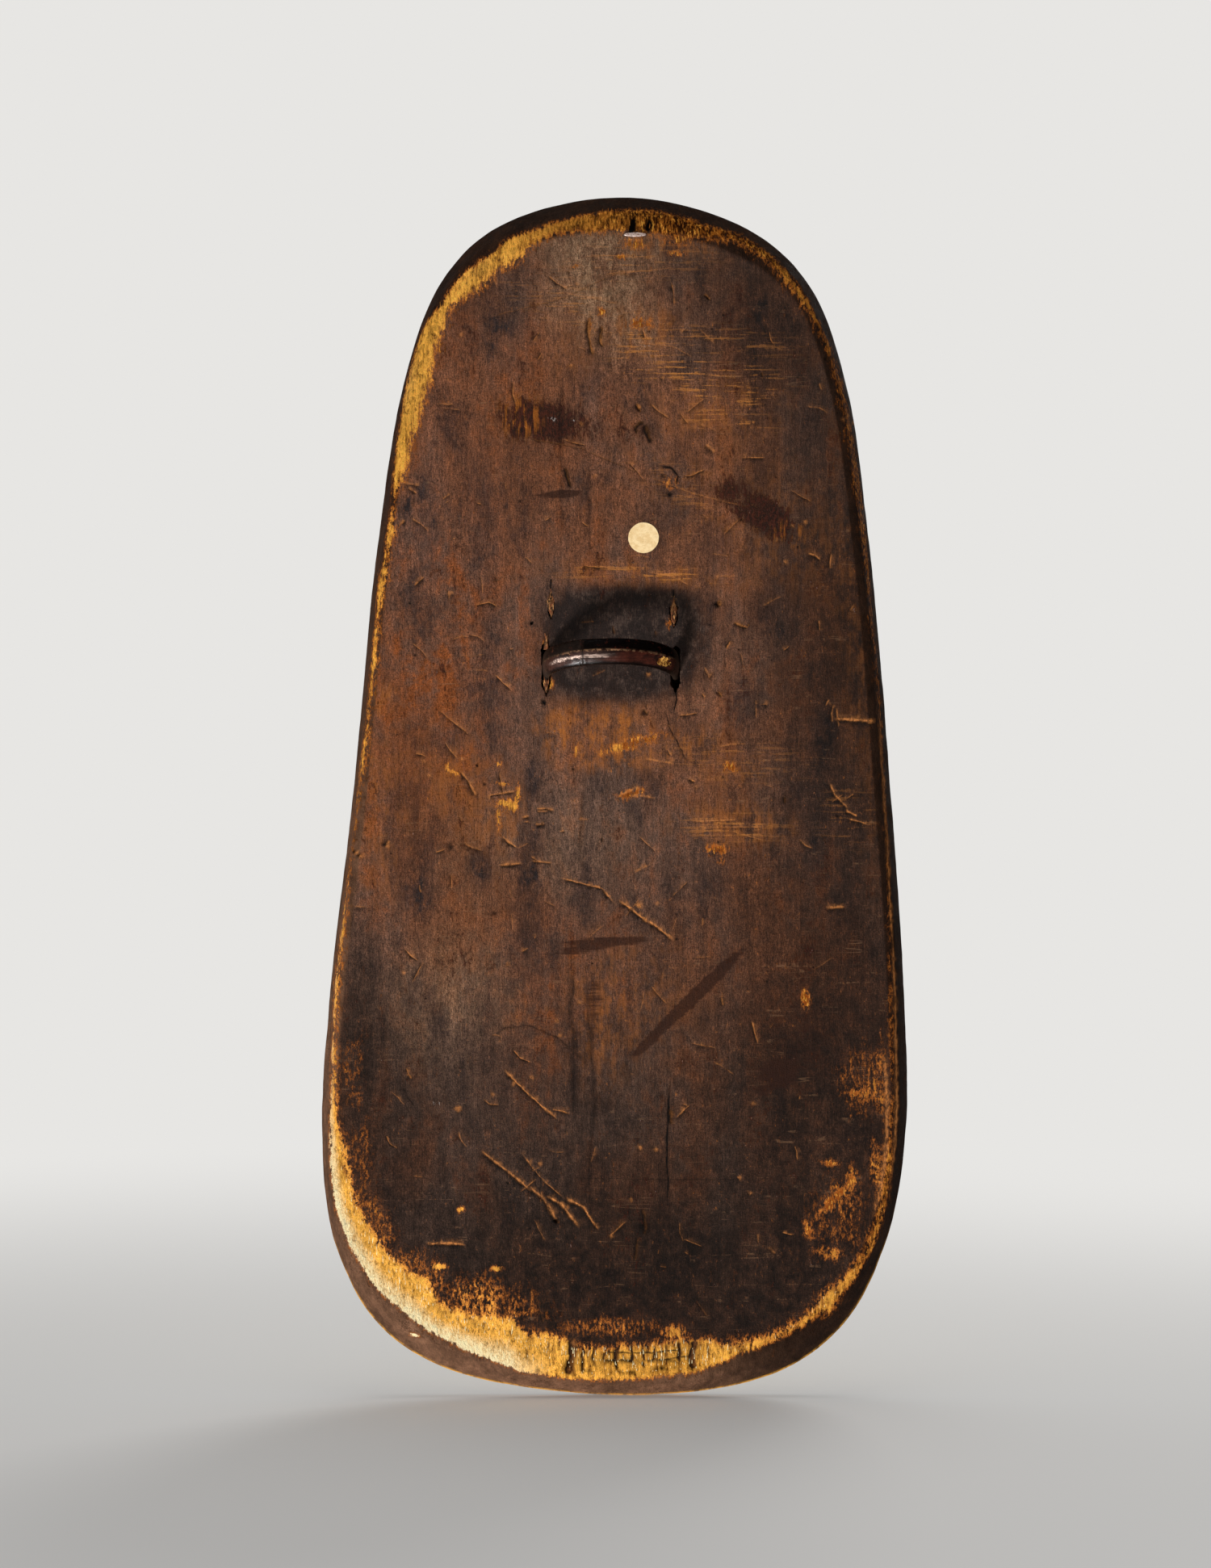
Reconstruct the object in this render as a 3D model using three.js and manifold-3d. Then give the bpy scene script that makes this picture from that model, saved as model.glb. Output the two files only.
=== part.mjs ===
// Painted wooden shield with a bent cane handle.
// Millimetres, +Z up. X runs to the right for someone looking at the handle, and +Y points from
// the handle side to the painted front. The origin is the middle of the cane grip.

import * as THREE from "three";
import { mergeVertices } from "three/addons/utils/BufferGeometryUtils.js";
import Module from "manifold-3d";

const wasm = await Module();
wasm.setup();

// Whole shield
const shieldHeight = 747;
const shieldWidth = 365;
const gripBelowTop = 285;
const midlineRightOfGrip = 4.3;

// Board thickness, side wall and edges
const rimDepth = 14;
const rimRound = 4;
const frontSwell = 7;
const leftFlare = 5;
const rightFlare = 7;
const topFlare = 12;
const bottomFlare = 12;
const lowerCornerFlare = 4;
const sideEdgeRound = 5;
const endEdgeRound = 12;

// Outline of the widest line, from the bottom up: the bottom and top points lie between the sides
const rimHeightShares = [0.02, 0.06, 0.13, 0.22, 0.33, 0.5, 0.7, 0.85, 0.93, 0.975];
const rimLeftShares = [0.56, 0.82, 0.97, 1.01, 0.985, 0.905, 0.825, 0.725, 0.6, 0.41];
const rimRightShares = [0.555, 0.775, 0.92, 0.985, 0.98, 0.935, 0.865, 0.775, 0.645, 0.43];
const bottomPointShare = 0.1;
const topPointShare = 0.01;
const rimStations = 96;
const edgeSteps = 4;
const edgeDepthShare = 0.3;
const swellShares = [0.9, 0.75, 0.55, 0.3];

// Cane strap
const gripHeight = 36;
const gripRise = 6.8;
const footSpan = 80;
const strapWidth = 16.2;
const footWidth = 17.5;
const strapThickness = 5;
const toeKick = 2;
const jointRightOfGrip = -17;
const jointLength = 4;
const jointSwell = 0.4;
const archSpanShares = [0.99, 0.95, 0.85, 0.68, 0.4];
const archHeightShares = [0.2, 0.43, 0.66, 0.86, 0.975];
const archRiseShares = [0.06, 0.2, 0.43, 0.69, 0.9];
const strapCrestShare = 0.75;
const strapSteps = 56;
const strapSides = 14;

// Slots in the back, and what fills them
const fitGap = 0.3;
const cutOverrun = 2;
const slotDepth = 15;
const leftSlotTopTip = 8.5;
const leftSlotBottomTip = 8.5;
const rightSlotTopTip = 2.4;
const rightSlotBottomTip = 6;
const leftStubSlot = { x: -37, z: 29.3, length: 17.5, width: 4 };
const rightStubSlot = { x: 39, z: 24.5, length: 19, width: 4.4 };
const stubTipShare = 0.3;
const stubRecess = 0.6;
const sliverThickness = 3;
const sliverTipGap = 2.6;
const sliverStandout = 0.4;
const sliverTaperShare = 0.7;

// Hanging staple
const stapleRightOfGrip = 15;
const stapleAboveGrip = 259;
const stapleLength = 14.5;
const stapleWidth = 3.4;
const stapleWire = 1.3;
const stapleLegLength = 9;
const stapleBendRadius = 1.2;
const stapleSteps = 30;
const wireSides = 10;

// Round paper label
const dotRightOfGrip = 20.3;
const dotAboveGrip = 71.5;
const dotDiameter = 19;
const dotThickness = 0.2;
const dotGumGap = 0.05;
const dotSides = 48;

const backFace = gripHeight;
const bottomZ = gripBelowTop - shieldHeight;
const footZ = -gripRise;
const strapLean = new THREE.Vector3(0, gripRise, gripHeight).normalize();
const stapleHalf = (stapleLength - stapleWire) / 2;

const woodMaterial = new THREE.MeshStandardMaterial({ color: 0x59402f, roughness: 0.75, metalness: 0 });
const caneMaterial = new THREE.MeshStandardMaterial({ color: 0x3a1d16, roughness: 0.3, metalness: 0 });
const fibreMaterial = new THREE.MeshStandardMaterial({ color: 0xc9953f, roughness: 0.9, metalness: 0 });
const stapleMaterial = new THREE.MeshStandardMaterial({ color: 0xa89c98, roughness: 0.45, metalness: 0.9 });
const paperMaterial = new THREE.MeshStandardMaterial({ color: 0xe2ce9c, roughness: 0.95, metalness: 0 });

// Turns a closed geometry inside out if its faces point inwards
function facingOut(geometry) {
  const place = geometry.attributes.position;
  const index = geometry.index.array;
  const a = new THREE.Vector3();
  const b = new THREE.Vector3();
  const c = new THREE.Vector3();
  let volume = 0;
  for (let i = 0; i < index.length; i += 3) {
    a.fromBufferAttribute(place, index[i]);
    b.fromBufferAttribute(place, index[i + 1]);
    c.fromBufferAttribute(place, index[i + 2]);
    volume += a.dot(b.cross(c));
  }
  if (volume < 0) {
    index.reverse();
  }
  geometry.computeVertexNormals();
  return geometry;
}

// Closes a row of rings with equal point counts, with a fan to a middle point at each end
function loft(rings, firstMiddle, lastMiddle) {
  const count = rings[0].length;
  const points = [...rings.flat(), firstMiddle, lastMiddle];
  const triangles = [];
  for (let ring = 0; ring + 1 < rings.length; ring += 1) {
    for (let i = 0; i < count; i += 1) {
      const here = ring * count + i;
      const next = ring * count + ((i + 1) % count);
      triangles.push(here, next, here + count);
      triangles.push(next, next + count, here + count);
    }
  }
  const first = points.length - 2;
  const last = points.length - 1;
  const lastRing = (rings.length - 1) * count;
  for (let i = 0; i < count; i += 1) {
    const next = (i + 1) % count;
    triangles.push(first, next, i);
    triangles.push(last, lastRing + i, lastRing + next);
  }
  const geometry = new THREE.BufferGeometry().setFromPoints(points);
  geometry.setIndex(triangles);
  return facingOut(geometry);
}

function middleOf(points) {
  const middle = new THREE.Vector3();
  points.forEach((point) => middle.add(point));
  return middle.divideScalar(points.length);
}

function plainLoft(rings) {
  return loft(rings, middleOf(rings[0]), middleOf(rings.at(-1)));
}

function asSolid(geometry) {
  const bare = geometry.clone();
  bare.deleteAttribute("normal");
  bare.deleteAttribute("uv");
  const merged = mergeVertices(bare);
  return new wasm.Manifold(
    new wasm.Mesh({
      numProp: 3,
      vertProperties: new Float32Array(merged.attributes.position.array),
      triVerts: new Uint32Array(merged.index.array),
    }),
  );
}

function asGeometry(solid) {
  const mesh = solid.getMesh();
  const geometry = new THREE.BufferGeometry();
  geometry.setAttribute("position", new THREE.BufferAttribute(new Float32Array(mesh.vertProperties), 3));
  geometry.setIndex(new THREE.BufferAttribute(new Uint32Array(mesh.triVerts), 1));
  geometry.computeVertexNormals();
  return geometry;
}

// The widest line of the shield: up the left side, over the top and down the right side
function rimOutline() {
  const half = shieldWidth / 2;
  const onSide = (side, share, heightShare) =>
    new THREE.Vector3(midlineRightOfGrip + side * share * half, 0, bottomZ + heightShare * shieldHeight);
  const left = rimHeightShares.map((heightShare, i) => onSide(-1, rimLeftShares[i], heightShare));
  const right = rimHeightShares.map((heightShare, i) => onSide(1, rimRightShares[i], heightShare));
  const bottom = onSide(1, bottomPointShare, 0);
  const top = onSide(1, topPointShare, 1);
  const curve = new THREE.CatmullRomCurve3([bottom, ...left, top, ...right.reverse()], true, "centripetal");
  return curve.getSpacedPoints(rimStations).slice(0, rimStations);
}

// How far the side wall leans outwards where the outline faces the given way
function flareFacing(facing) {
  const across = facing.x * facing.x;
  const along = facing.z * facing.z;
  const side = facing.x < 0 ? leftFlare : rightFlare;
  const end = facing.z < 0 ? bottomFlare : topFlare;
  const corner = facing.z < 0 ? 4 * across * along * lowerCornerFlare : 0;
  return side * across + end * along + corner;
}

// Points from the flat back over the worn edge, down the wall and round the rim: x in, y deep
function wallSection(facing) {
  const flare = flareFacing(facing);
  const round = THREE.MathUtils.lerp(sideEdgeRound, endEdgeRound, facing.z * facing.z);
  const edge = new THREE.QuadraticBezierCurve(
    new THREE.Vector2(flare + round, 0),
    new THREE.Vector2(flare, 0),
    new THREE.Vector2(flare * (1 - edgeDepthShare), rimDepth * edgeDepthShare),
  );
  const rim = new THREE.QuadraticBezierCurve(
    new THREE.Vector2(0, rimDepth),
    new THREE.Vector2(0, rimDepth + rimRound),
    new THREE.Vector2(rimRound, rimDepth + rimRound),
  );
  return [...edge.getPoints(edgeSteps), ...rim.getPoints(edgeSteps)];
}

function boardRings() {
  const outline = rimOutline();
  const columns = outline.map((point, i) => {
    const before = outline[(i + rimStations - 1) % rimStations];
    const after = outline[(i + 1) % rimStations];
    const along = after.clone().sub(before).normalize();
    const facing = new THREE.Vector3(-along.z, 0, along.x);
    return wallSection(facing).map(
      (step) => new THREE.Vector3(point.x - facing.x * step.x, backFace + step.y, point.z - facing.z * step.x),
    );
  });
  return columns[0].map((_, ring) => columns.map((column) => column[ring]));
}

function boardBlank() {
  const rings = boardRings();
  const edge = rings.at(-1);
  const middle = new THREE.Vector3(midlineRightOfGrip, edge[0].y, bottomZ + shieldHeight / 2);
  for (const share of swellShares) {
    const swell = frontSwell * (1 - share * share);
    rings.push(
      edge.map((point) => {
        const moved = middle.clone().lerp(point, share);
        moved.y += swell;
        return moved;
      }),
    );
  }
  const backMiddle = new THREE.Vector3(middle.x, backFace, middle.z);
  const frontMiddle = new THREE.Vector3(middle.x, middle.y + frontSwell, middle.z);
  return loft(rings, backMiddle, frontMiddle);
}

// Pointed opening cut along the grain: six corners, the long sides straight between the shoulders
function slotPlan(x, z, slot) {
  const half = slot.width / 2;
  return [
    [0, slot.topTip],
    [half, slot.topShoulder],
    [half, -slot.bottomShoulder],
    [0, -slot.bottomTip],
    [-half, -slot.bottomShoulder],
    [-half, slot.topShoulder],
  ].map(([across, up]) => [x + across, z + up]);
}

// A prism with the slot's plan, leaning away from the grip as it goes deeper
function slotPrism(slot, from, to) {
  const rings = [from, to].map((depth) => {
    const x = slot.x + slot.kick * (depth / slotDepth);
    return slotPlan(x, slot.z, slot).map(([px, pz]) => new THREE.Vector3(px, backFace + depth, pz));
  });
  return plainLoft(rings);
}

function strapSlot(side, topTip, bottomTip) {
  const shoulder = footWidth / 2 + fitGap;
  const drop = (gripRise * slotDepth) / gripHeight;
  return {
    x: (side * footSpan) / 2,
    z: footZ,
    kick: side * toeKick,
    width: strapThickness + 2 * fitGap,
    topShoulder: shoulder,
    bottomShoulder: shoulder + drop,
    topTip: shoulder + topTip,
    bottomTip: shoulder + drop + bottomTip,
  };
}

function stubSlot(place, shrink) {
  const half = place.length / 2 - 2 * shrink;
  const shoulder = half - place.length * stubTipShare;
  return {
    x: place.x,
    z: place.z,
    kick: 0,
    width: place.width - 2 * shrink,
    topShoulder: shoulder,
    bottomShoulder: shoulder,
    topTip: half,
    bottomTip: half,
  };
}

function strapLine() {
  const half = footSpan / 2;
  const point = (side, spanShare, heightShare, riseShare) =>
    new THREE.Vector3(
      side * spanShare * half,
      backFace - heightShare * gripHeight,
      footZ + riseShare * gripRise,
    );
  const toeDepth = slotDepth - fitGap - (footWidth / 2) * strapLean.y;
  const toe = (side) =>
    new THREE.Vector3(
      side * (half + (toeKick * toeDepth) / slotDepth),
      backFace + toeDepth,
      footZ - (gripRise * toeDepth) / gripHeight,
    );
  const arm = (side) => [
    toe(side),
    point(side, 1, 0, 0),
    ...archSpanShares.map((share, i) => point(side, share, archHeightShares[i], archRiseShares[i])),
  ];
  const line = [...arm(-1), point(0, 0, 1, 1), ...arm(1).reverse()];
  return new THREE.CatmullRomCurve3(line, false, "centripetal");
}

// Half-round cane: a high crest on the outside of the arch and a nearly flat inside
function strapRing(centre, along, width, thickness) {
  const outward = along.clone().cross(strapLean).normalize();
  const across = outward.clone().cross(along);
  const ring = [];
  for (let i = 0; i < strapSides; i += 1) {
    const turn = (i / strapSides) * 2 * Math.PI;
    const lift = Math.sin(turn) * (Math.sin(turn) > 0 ? strapCrestShare : 1 - strapCrestShare);
    const out = thickness * (lift + 0.5 - strapCrestShare);
    const side = (width / 2) * Math.cos(turn);
    ring.push(centre.clone().addScaledVector(outward, out).addScaledVector(across, side));
  }
  return ring;
}

function caneStrap() {
  const line = strapLine();
  const rings = [];
  for (let i = 0; i <= strapSteps; i += 1) {
    const centre = line.getPointAt(i / strapSteps);
    const along = line.getTangentAt(i / strapSteps);
    const heightShare = THREE.MathUtils.clamp((backFace - centre.y) / gripHeight, 0, 1);
    const fromJoint = (centre.x - jointRightOfGrip) / jointLength;
    const swell = centre.y < backFace ? jointSwell * Math.exp(-fromJoint * fromJoint) : 0;
    const width = THREE.MathUtils.lerp(footWidth, strapWidth, heightShare) + swell;
    rings.push(strapRing(centre, along, width, strapThickness + swell));
  }
  return plainLoft(rings);
}

// A tapered splinter that fills the pointed end of the left strap slot, above or below the strap
function packingSliver(up) {
  const slot = strapSlot(-1, leftSlotTopTip, leftSlotBottomTip);
  const tip = up > 0 ? slot.topTip : slot.bottomTip;
  const shoulder = up > 0 ? slot.topShoulder : slot.bottomShoulder;
  const halfAtTip = (slot.width / 2) * (sliverTipGap / (tip - shoulder)) - fitGap;
  const corners = [
    [halfAtTip, tip - sliverTipGap],
    [sliverThickness / 2, shoulder],
  ];
  const depths = [-sliverStandout, slotDepth * sliverTaperShare];
  const rings = depths.map((depth, ring) => {
    const x = slot.x + slot.kick * (depth / slotDepth);
    const thin = ring === 0 ? 1 : sliverTaperShare;
    return [
      [-1, 0],
      [1, 0],
      [1, 1],
      [-1, 1],
    ].map(([side, corner]) => {
      const [half, fromFoot] = corners[corner];
      return new THREE.Vector3(x + side * half * thin, backFace + depth, footZ + up * fromFoot);
    });
  });
  return plainLoft(rings);
}

// One staple wire line: up one leg, round the bend, along the crown and down the other leg
function stapleLine() {
  const crown = backFace - fitGap - stapleWire / 2;
  const bend = stapleBendRadius;
  const at = (side, inset, depth) =>
    new THREE.Vector3(stapleRightOfGrip + side * (stapleHalf - inset), crown + depth, stapleAboveGrip);
  const path = new THREE.CurvePath();
  const reach = fitGap + stapleWire / 2 + stapleLegLength;
  path.add(new THREE.LineCurve3(at(-1, 0, reach), at(-1, 0, bend)));
  path.add(new THREE.QuadraticBezierCurve3(at(-1, 0, bend), at(-1, 0, 0), at(-1, bend, 0)));
  path.add(new THREE.LineCurve3(at(-1, bend, 0), at(1, bend, 0)));
  path.add(new THREE.QuadraticBezierCurve3(at(1, bend, 0), at(1, 0, 0), at(1, 0, bend)));
  path.add(new THREE.LineCurve3(at(1, 0, bend), at(1, 0, reach)));
  return path;
}

// The crown is hammered to a leaf shape, and the legs stay round
function staple() {
  const line = stapleLine();
  const across = new THREE.Vector3(0, 0, 1);
  const rings = [];
  for (let i = 0; i <= stapleSteps; i += 1) {
    const centre = line.getPoint(i / stapleSteps);
    const along = line.getTangent(i / stapleSteps);
    const outward = along.clone().cross(across).normalize();
    const share = THREE.MathUtils.clamp(Math.abs(centre.x - stapleRightOfGrip) / stapleHalf, 0, 1);
    const width = THREE.MathUtils.lerp(stapleWidth, stapleWire, share * share);
    rings.push(ringRound(centre, outward, across, stapleWire / 2, width / 2));
  }
  return plainLoft(rings);
}

function ringRound(centre, outward, across, outRadius, acrossRadius) {
  const ring = [];
  for (let i = 0; i < wireSides; i += 1) {
    const turn = (i / wireSides) * 2 * Math.PI;
    const point = centre.clone().addScaledVector(outward, outRadius * Math.cos(turn));
    ring.push(point.addScaledVector(across, acrossRadius * Math.sin(turn)));
  }
  return ring;
}

function stapleHole(side) {
  const x = stapleRightOfGrip + side * stapleHalf;
  const radius = stapleWire / 2 + fitGap;
  const outward = new THREE.Vector3(1, 0, 0);
  const across = new THREE.Vector3(0, 0, 1);
  const rings = [-cutOverrun, stapleLegLength + fitGap].map((depth) =>
    ringRound(new THREE.Vector3(x, backFace + depth, stapleAboveGrip), outward, across, radius, radius),
  );
  return plainLoft(rings);
}

function board() {
  const cuts = [
    slotPrism(strapSlot(-1, leftSlotTopTip, leftSlotBottomTip), -cutOverrun, slotDepth),
    slotPrism(strapSlot(1, rightSlotTopTip, rightSlotBottomTip), -cutOverrun, slotDepth),
    slotPrism(stubSlot(leftStubSlot, 0), -cutOverrun, slotDepth),
    slotPrism(stubSlot(rightStubSlot, 0), -cutOverrun, slotDepth),
    stapleHole(-1),
    stapleHole(1),
  ];
  let solid = asSolid(boardBlank());
  for (const cut of cuts) {
    solid = solid.subtract(asSolid(cut));
  }
  return asGeometry(solid);
}

function strapStub(place) {
  return slotPrism(stubSlot(place, fitGap), stubRecess, slotDepth - fitGap);
}

function paperDot() {
  const disc = new THREE.CylinderGeometry(dotDiameter / 2, dotDiameter / 2, dotThickness, dotSides);
  const standoff = dotGumGap + dotThickness / 2;
  disc.translate(dotRightOfGrip, backFace - standoff, dotAboveGrip);
  return disc;
}

const shield = new THREE.Group();

function addPiece(name, geometry, material) {
  const mesh = new THREE.Mesh(geometry, material.clone());
  mesh.name = name;
  shield.add(mesh);
  return mesh;
}

addPiece("shield_board", board(), woodMaterial);
addPiece("cane_handle", caneStrap(), caneMaterial);
addPiece("packing_sliver_upper", packingSliver(1), fibreMaterial);
addPiece("packing_sliver_lower", packingSliver(-1), fibreMaterial);
addPiece("old_strap_stub_left", strapStub(leftStubSlot), fibreMaterial);
addPiece("old_strap_stub_right", strapStub(rightStubSlot), fibreMaterial);
addPiece("hanging_staple", staple(), stapleMaterial);
addPiece("paper_dot", paperDot(), paperMaterial);

export default shield;
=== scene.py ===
"""A tall carved shield seen from its handle side: worn stained wood, a bent cane grip and a studio."""

import math

import bmesh
import bpy
import numpy as np
from bpy.props import FloatProperty, FloatVectorProperty, IntProperty, PointerProperty
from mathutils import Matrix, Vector, geometry, kdtree


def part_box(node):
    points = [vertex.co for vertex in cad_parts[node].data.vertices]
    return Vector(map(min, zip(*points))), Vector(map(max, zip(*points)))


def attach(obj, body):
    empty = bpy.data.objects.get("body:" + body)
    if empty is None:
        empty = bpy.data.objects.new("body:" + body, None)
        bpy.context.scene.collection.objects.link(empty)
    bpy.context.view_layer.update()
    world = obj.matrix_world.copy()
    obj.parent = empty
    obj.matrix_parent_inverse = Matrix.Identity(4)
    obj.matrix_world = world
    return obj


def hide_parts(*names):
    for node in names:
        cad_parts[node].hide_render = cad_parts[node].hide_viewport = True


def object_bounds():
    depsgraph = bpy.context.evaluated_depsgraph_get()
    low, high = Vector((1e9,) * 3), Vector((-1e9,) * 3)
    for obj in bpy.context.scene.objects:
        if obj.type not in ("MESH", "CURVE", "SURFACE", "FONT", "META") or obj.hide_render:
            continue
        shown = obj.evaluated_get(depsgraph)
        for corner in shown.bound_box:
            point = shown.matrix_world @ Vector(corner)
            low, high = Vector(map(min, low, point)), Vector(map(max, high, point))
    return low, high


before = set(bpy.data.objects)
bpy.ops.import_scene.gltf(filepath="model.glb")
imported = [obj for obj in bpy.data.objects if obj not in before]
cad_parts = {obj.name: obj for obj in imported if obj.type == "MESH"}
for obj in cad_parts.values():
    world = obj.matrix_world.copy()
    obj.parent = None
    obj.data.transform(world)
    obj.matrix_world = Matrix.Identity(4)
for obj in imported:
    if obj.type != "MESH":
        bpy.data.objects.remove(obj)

CAD_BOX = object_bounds()

bl_info = {
    "name": "Painted Wooden Shield",
    "version": (1, 0, 0),
    "blender": (4, 5, 0),
    "location": "3D View > Sidebar > Shield",
    "description": "Builds a carved wooden shield with a cane grip around its packed solids",
    "category": "Add Mesh",
}

MM = 0.001

# The camera stands square to the flat back: this pixel of the photograph lies on its axis
AXIS_PX, AXIS_PY = 750, 971
AXIS_X, AXIS_Z = -3.25, -81.0
MM_PER_PX = 0.5
CAMERA_DISTANCE = 2000.0
PHOTO_HEIGHT_PX = 1942
SENSOR_MM = 36.0

# The board, in millimetres
BACK_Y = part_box("shield_board")[0].y / MM
BOARD_MIDDLE = np.array([4.3, -88.5])
RIM_EDGE_Y = 54.0
FRONT_SWELL = 7.0
PLANE = [0, 2]

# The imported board's rings, and how its other vertices are told from them
RING_POINTS = 96
ANCHOR_RING = 5
ROWS_PER_LEVEL = (2, 2, 3, 3, 6, 2, 1, 1, 1)
PAINTED_ROWS = 5
SLOTS_REACH = 60
MIDDLE_REACH = 5
SAME_LEVEL = 0.02

# Slots cut through the back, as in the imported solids: place, width, tips and shoulders above and
# below the place, and how far the floor lies outwards
SLOT_DEPTH = 15.0
STRAP_SLOT_Z = -6.8
STRAP_SLOT_WIDTH = 5.6
STRAP_SLOT_SHOULDERS = (9.05, 11.88)
SLOTS = (
    (-40, STRAP_SLOT_Z, STRAP_SLOT_WIDTH, (17.55, 20.38), STRAP_SLOT_SHOULDERS, -2),
    (40, STRAP_SLOT_Z, STRAP_SLOT_WIDTH, (11.45, 17.88), STRAP_SLOT_SHOULDERS, 2),
    (-37, 29.3, 4.0, (8.75, 8.75), (3.5, 3.5), 0),
    (39, 24.5, 4.4, (9.5, 9.5), (3.8, 3.8), 0),
)

# A slot's rings: depth, and how much of the mouth's torn spread is left there
SLOT_LEVELS = ((0, 1), (0.6, 0.75), (2, 0.45), (5, 0.2), (SLOT_DEPTH, 0))
MOUTH_TORN = 0.35
MOUTH_STEP = 0.9

# The hanging staple's place and its two holes
STAPLE_X, STAPLE_Z = 15.0, 259.0
STAPLE_HALF = 6.6
STAPLE_HOLE = 0.95
STAPLE_HOLE_DEPTH = 9.3
STAPLE_HOLE_SIDES = 10

# How softly the worn band ends towards the middle and over the arris, and how far its fields reach
WORN_SOFTNESS = (5.5, 2.6)
LEAST_WORN = -1.2

# Places on the back: how close the fine ones stand, and the gaps they keep
FINE_SHARE = 0.62
FINE_FROM_WEAR = -0.35
EDGE_GAPS = {"fine": 0.8, "marks": 0.7, "coarse": 0.9, "front": 1.2}
MARK_GAP = 0.5
MOUTH_GAP = 0.45
DENT_SIDES = 6
DENT_RINGS = (0.35, 0.7, 1.05, 1.45)

# Where the relief begins and ends, in millimetres below the back or in from the front's rim
BACK_FADE = (1.0, 5.5)
SLOT_FADE = (0.2, 3.0)
WALL_FADES = ((0.5, 4), (17.2, 18))
FRONT_FADE = (1, 12)
STATION_WAY = 2.0
BOARD_SHARP_FROM = math.radians(55)

# The pale line where the wall meets the front: its depth and width, and the heights where it fades
RIM_LINE_DEPTH, RIM_LINE_WIDTH = 14.2, 0.9
RIM_LINE_FADE = (-330, -400)

# The way to the key lamp, in the plane of the back: a groove is dark on this side and lit on the other
LIT_FROM = np.array([-0.55, -0.83])


def ink(*seen):
    """A colour as it is seen, 0 to 255, as the linear colour a material takes."""
    shares = [level / 255 for level in seen]
    return tuple(c / 12.92 if c <= 0.04045 else ((c + 0.055) / 1.055) ** 2.4 for c in shares) + (1.0,)


def at_photo(px, py):
    """A place on the flat back, in millimetres, from a pixel of the photograph."""
    return np.array([(px - AXIS_PX) * MM_PER_PX + AXIS_X, (AXIS_PY - py) * MM_PER_PX + AXIS_Z])


def smooth_step(low, high, value):
    share = np.clip((value - low) / (high - low), 0, 1)
    return share * share * (3 - 2 * share)


def field_noise(u, v, seed):
    """Smooth noise from -1 to 1 over a unit lattice."""
    table = np.random.RandomState(seed).rand(256, 256) * 2 - 1
    iu, iv = np.floor(u).astype(int), np.floor(v).astype(int)
    fu, fv = u - iu, v - iv
    fu, fv = fu * fu * (3 - 2 * fu), fv * fv * (3 - 2 * fv)
    low, high = (table[iu % 256, level % 256] * (1 - fu) + table[(iu + 1) % 256, level % 256] * fu
                 for level in (iv, iv + 1))
    return low * (1 - fv) + high * fv


def piled_noise(u, v, seed):
    """Three octaves of the smooth noise."""
    octaves = ((k, 2 ** k) for k in range(3))
    return sum(0.55 ** k * field_noise(u * fine, v * fine, seed + k) for k, fine in octaves)


def unit(vectors):
    return vectors / np.linalg.norm(vectors, axis=-1, keepdims=True)


def resampled(line, steps=None, spacing=None):
    """Places along a line of straight pieces, and how far along it they lie."""
    reach = np.concatenate([[0], np.cumsum(np.linalg.norm(np.diff(line, axis=0), axis=1))])
    way = np.linspace(0, reach[-1], steps or max(3, int(reach[-1] / spacing) + 1))
    return np.stack([np.interp(way, reach, column) for column in line.T], axis=1), way


class Score:
    """A scratch, split or pale line cut into the back, drawn through pixels of the photograph."""

    SPACING = 1.1
    NARROWED = 0.8

    def __init__(self, path, width=0.9, depth=0.35, pale=0.8, dark=0.0, burr=0.25, wander=0.25):
        self.depth, self.pale, self.dark, self.burr = depth, pale, dark, burr
        line, steps = resampled(np.array([at_photo(*point) for point in path]), spacing=self.SPACING)
        along = np.gradient(line, axis=0)
        along /= np.linalg.norm(along, axis=1)[:, None] + 1e-9
        across = np.stack([-along[:, 1], along[:, 0]], axis=1)
        level, seed = steps * 0 + path[0][0], int(path[0][1])
        sway = wander * (piled_noise(steps / 7, level, seed) + 0.4 * field_noise(steps / 1.7, level, 5))
        self.line = line + across * sway[:, None]
        self.lampward = across * np.where(across @ LIT_FROM > 0, 1, -1)[:, None]
        self.width = self.NARROWED * width * (1 + 0.5 * field_noise(steps / 2.6, level, seed))
        self.strength = np.clip(1.0 + 0.6 * field_noise(steps / 3.4, level + 0.5, seed), 0.2, 1)

    def mesh_points(self):
        sides = (0, -0.6, 0.6, -1.5, 1.5)
        return np.concatenate([self.line + self.lampward * (side * self.width)[:, None] for side in sides])

    def reach(self, places):
        """For the places near the line: the way along it, the distance towards the lamp, width, strength."""
        margin = 4 * self.width.max() + 1
        low, high = self.line.min(axis=0) - margin, self.line.max(axis=0) + margin
        near = np.nonzero(np.all((places > low) & (places < high), axis=1))[0]
        start, step = self.line[:-1], np.diff(self.line, axis=0)
        offset = places[near][:, None, :] - start[None]
        share = np.clip((offset * step).sum(axis=2) / (step ** 2).sum(axis=1), 0, 1)
        gap = offset - share[:, :, None] * step[None]
        best = np.linalg.norm(gap, axis=2).argmin(axis=1)
        rows = np.arange(len(near))
        gap = gap[rows, best]
        side = np.sign((gap * self.lampward[best]).sum(axis=1))
        away = np.linalg.norm(gap, axis=1) * np.where(side < 0, -1, 1)
        return near, (best + share[rows, best]) / len(step), away, self.width[best], self.strength[best]


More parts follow.
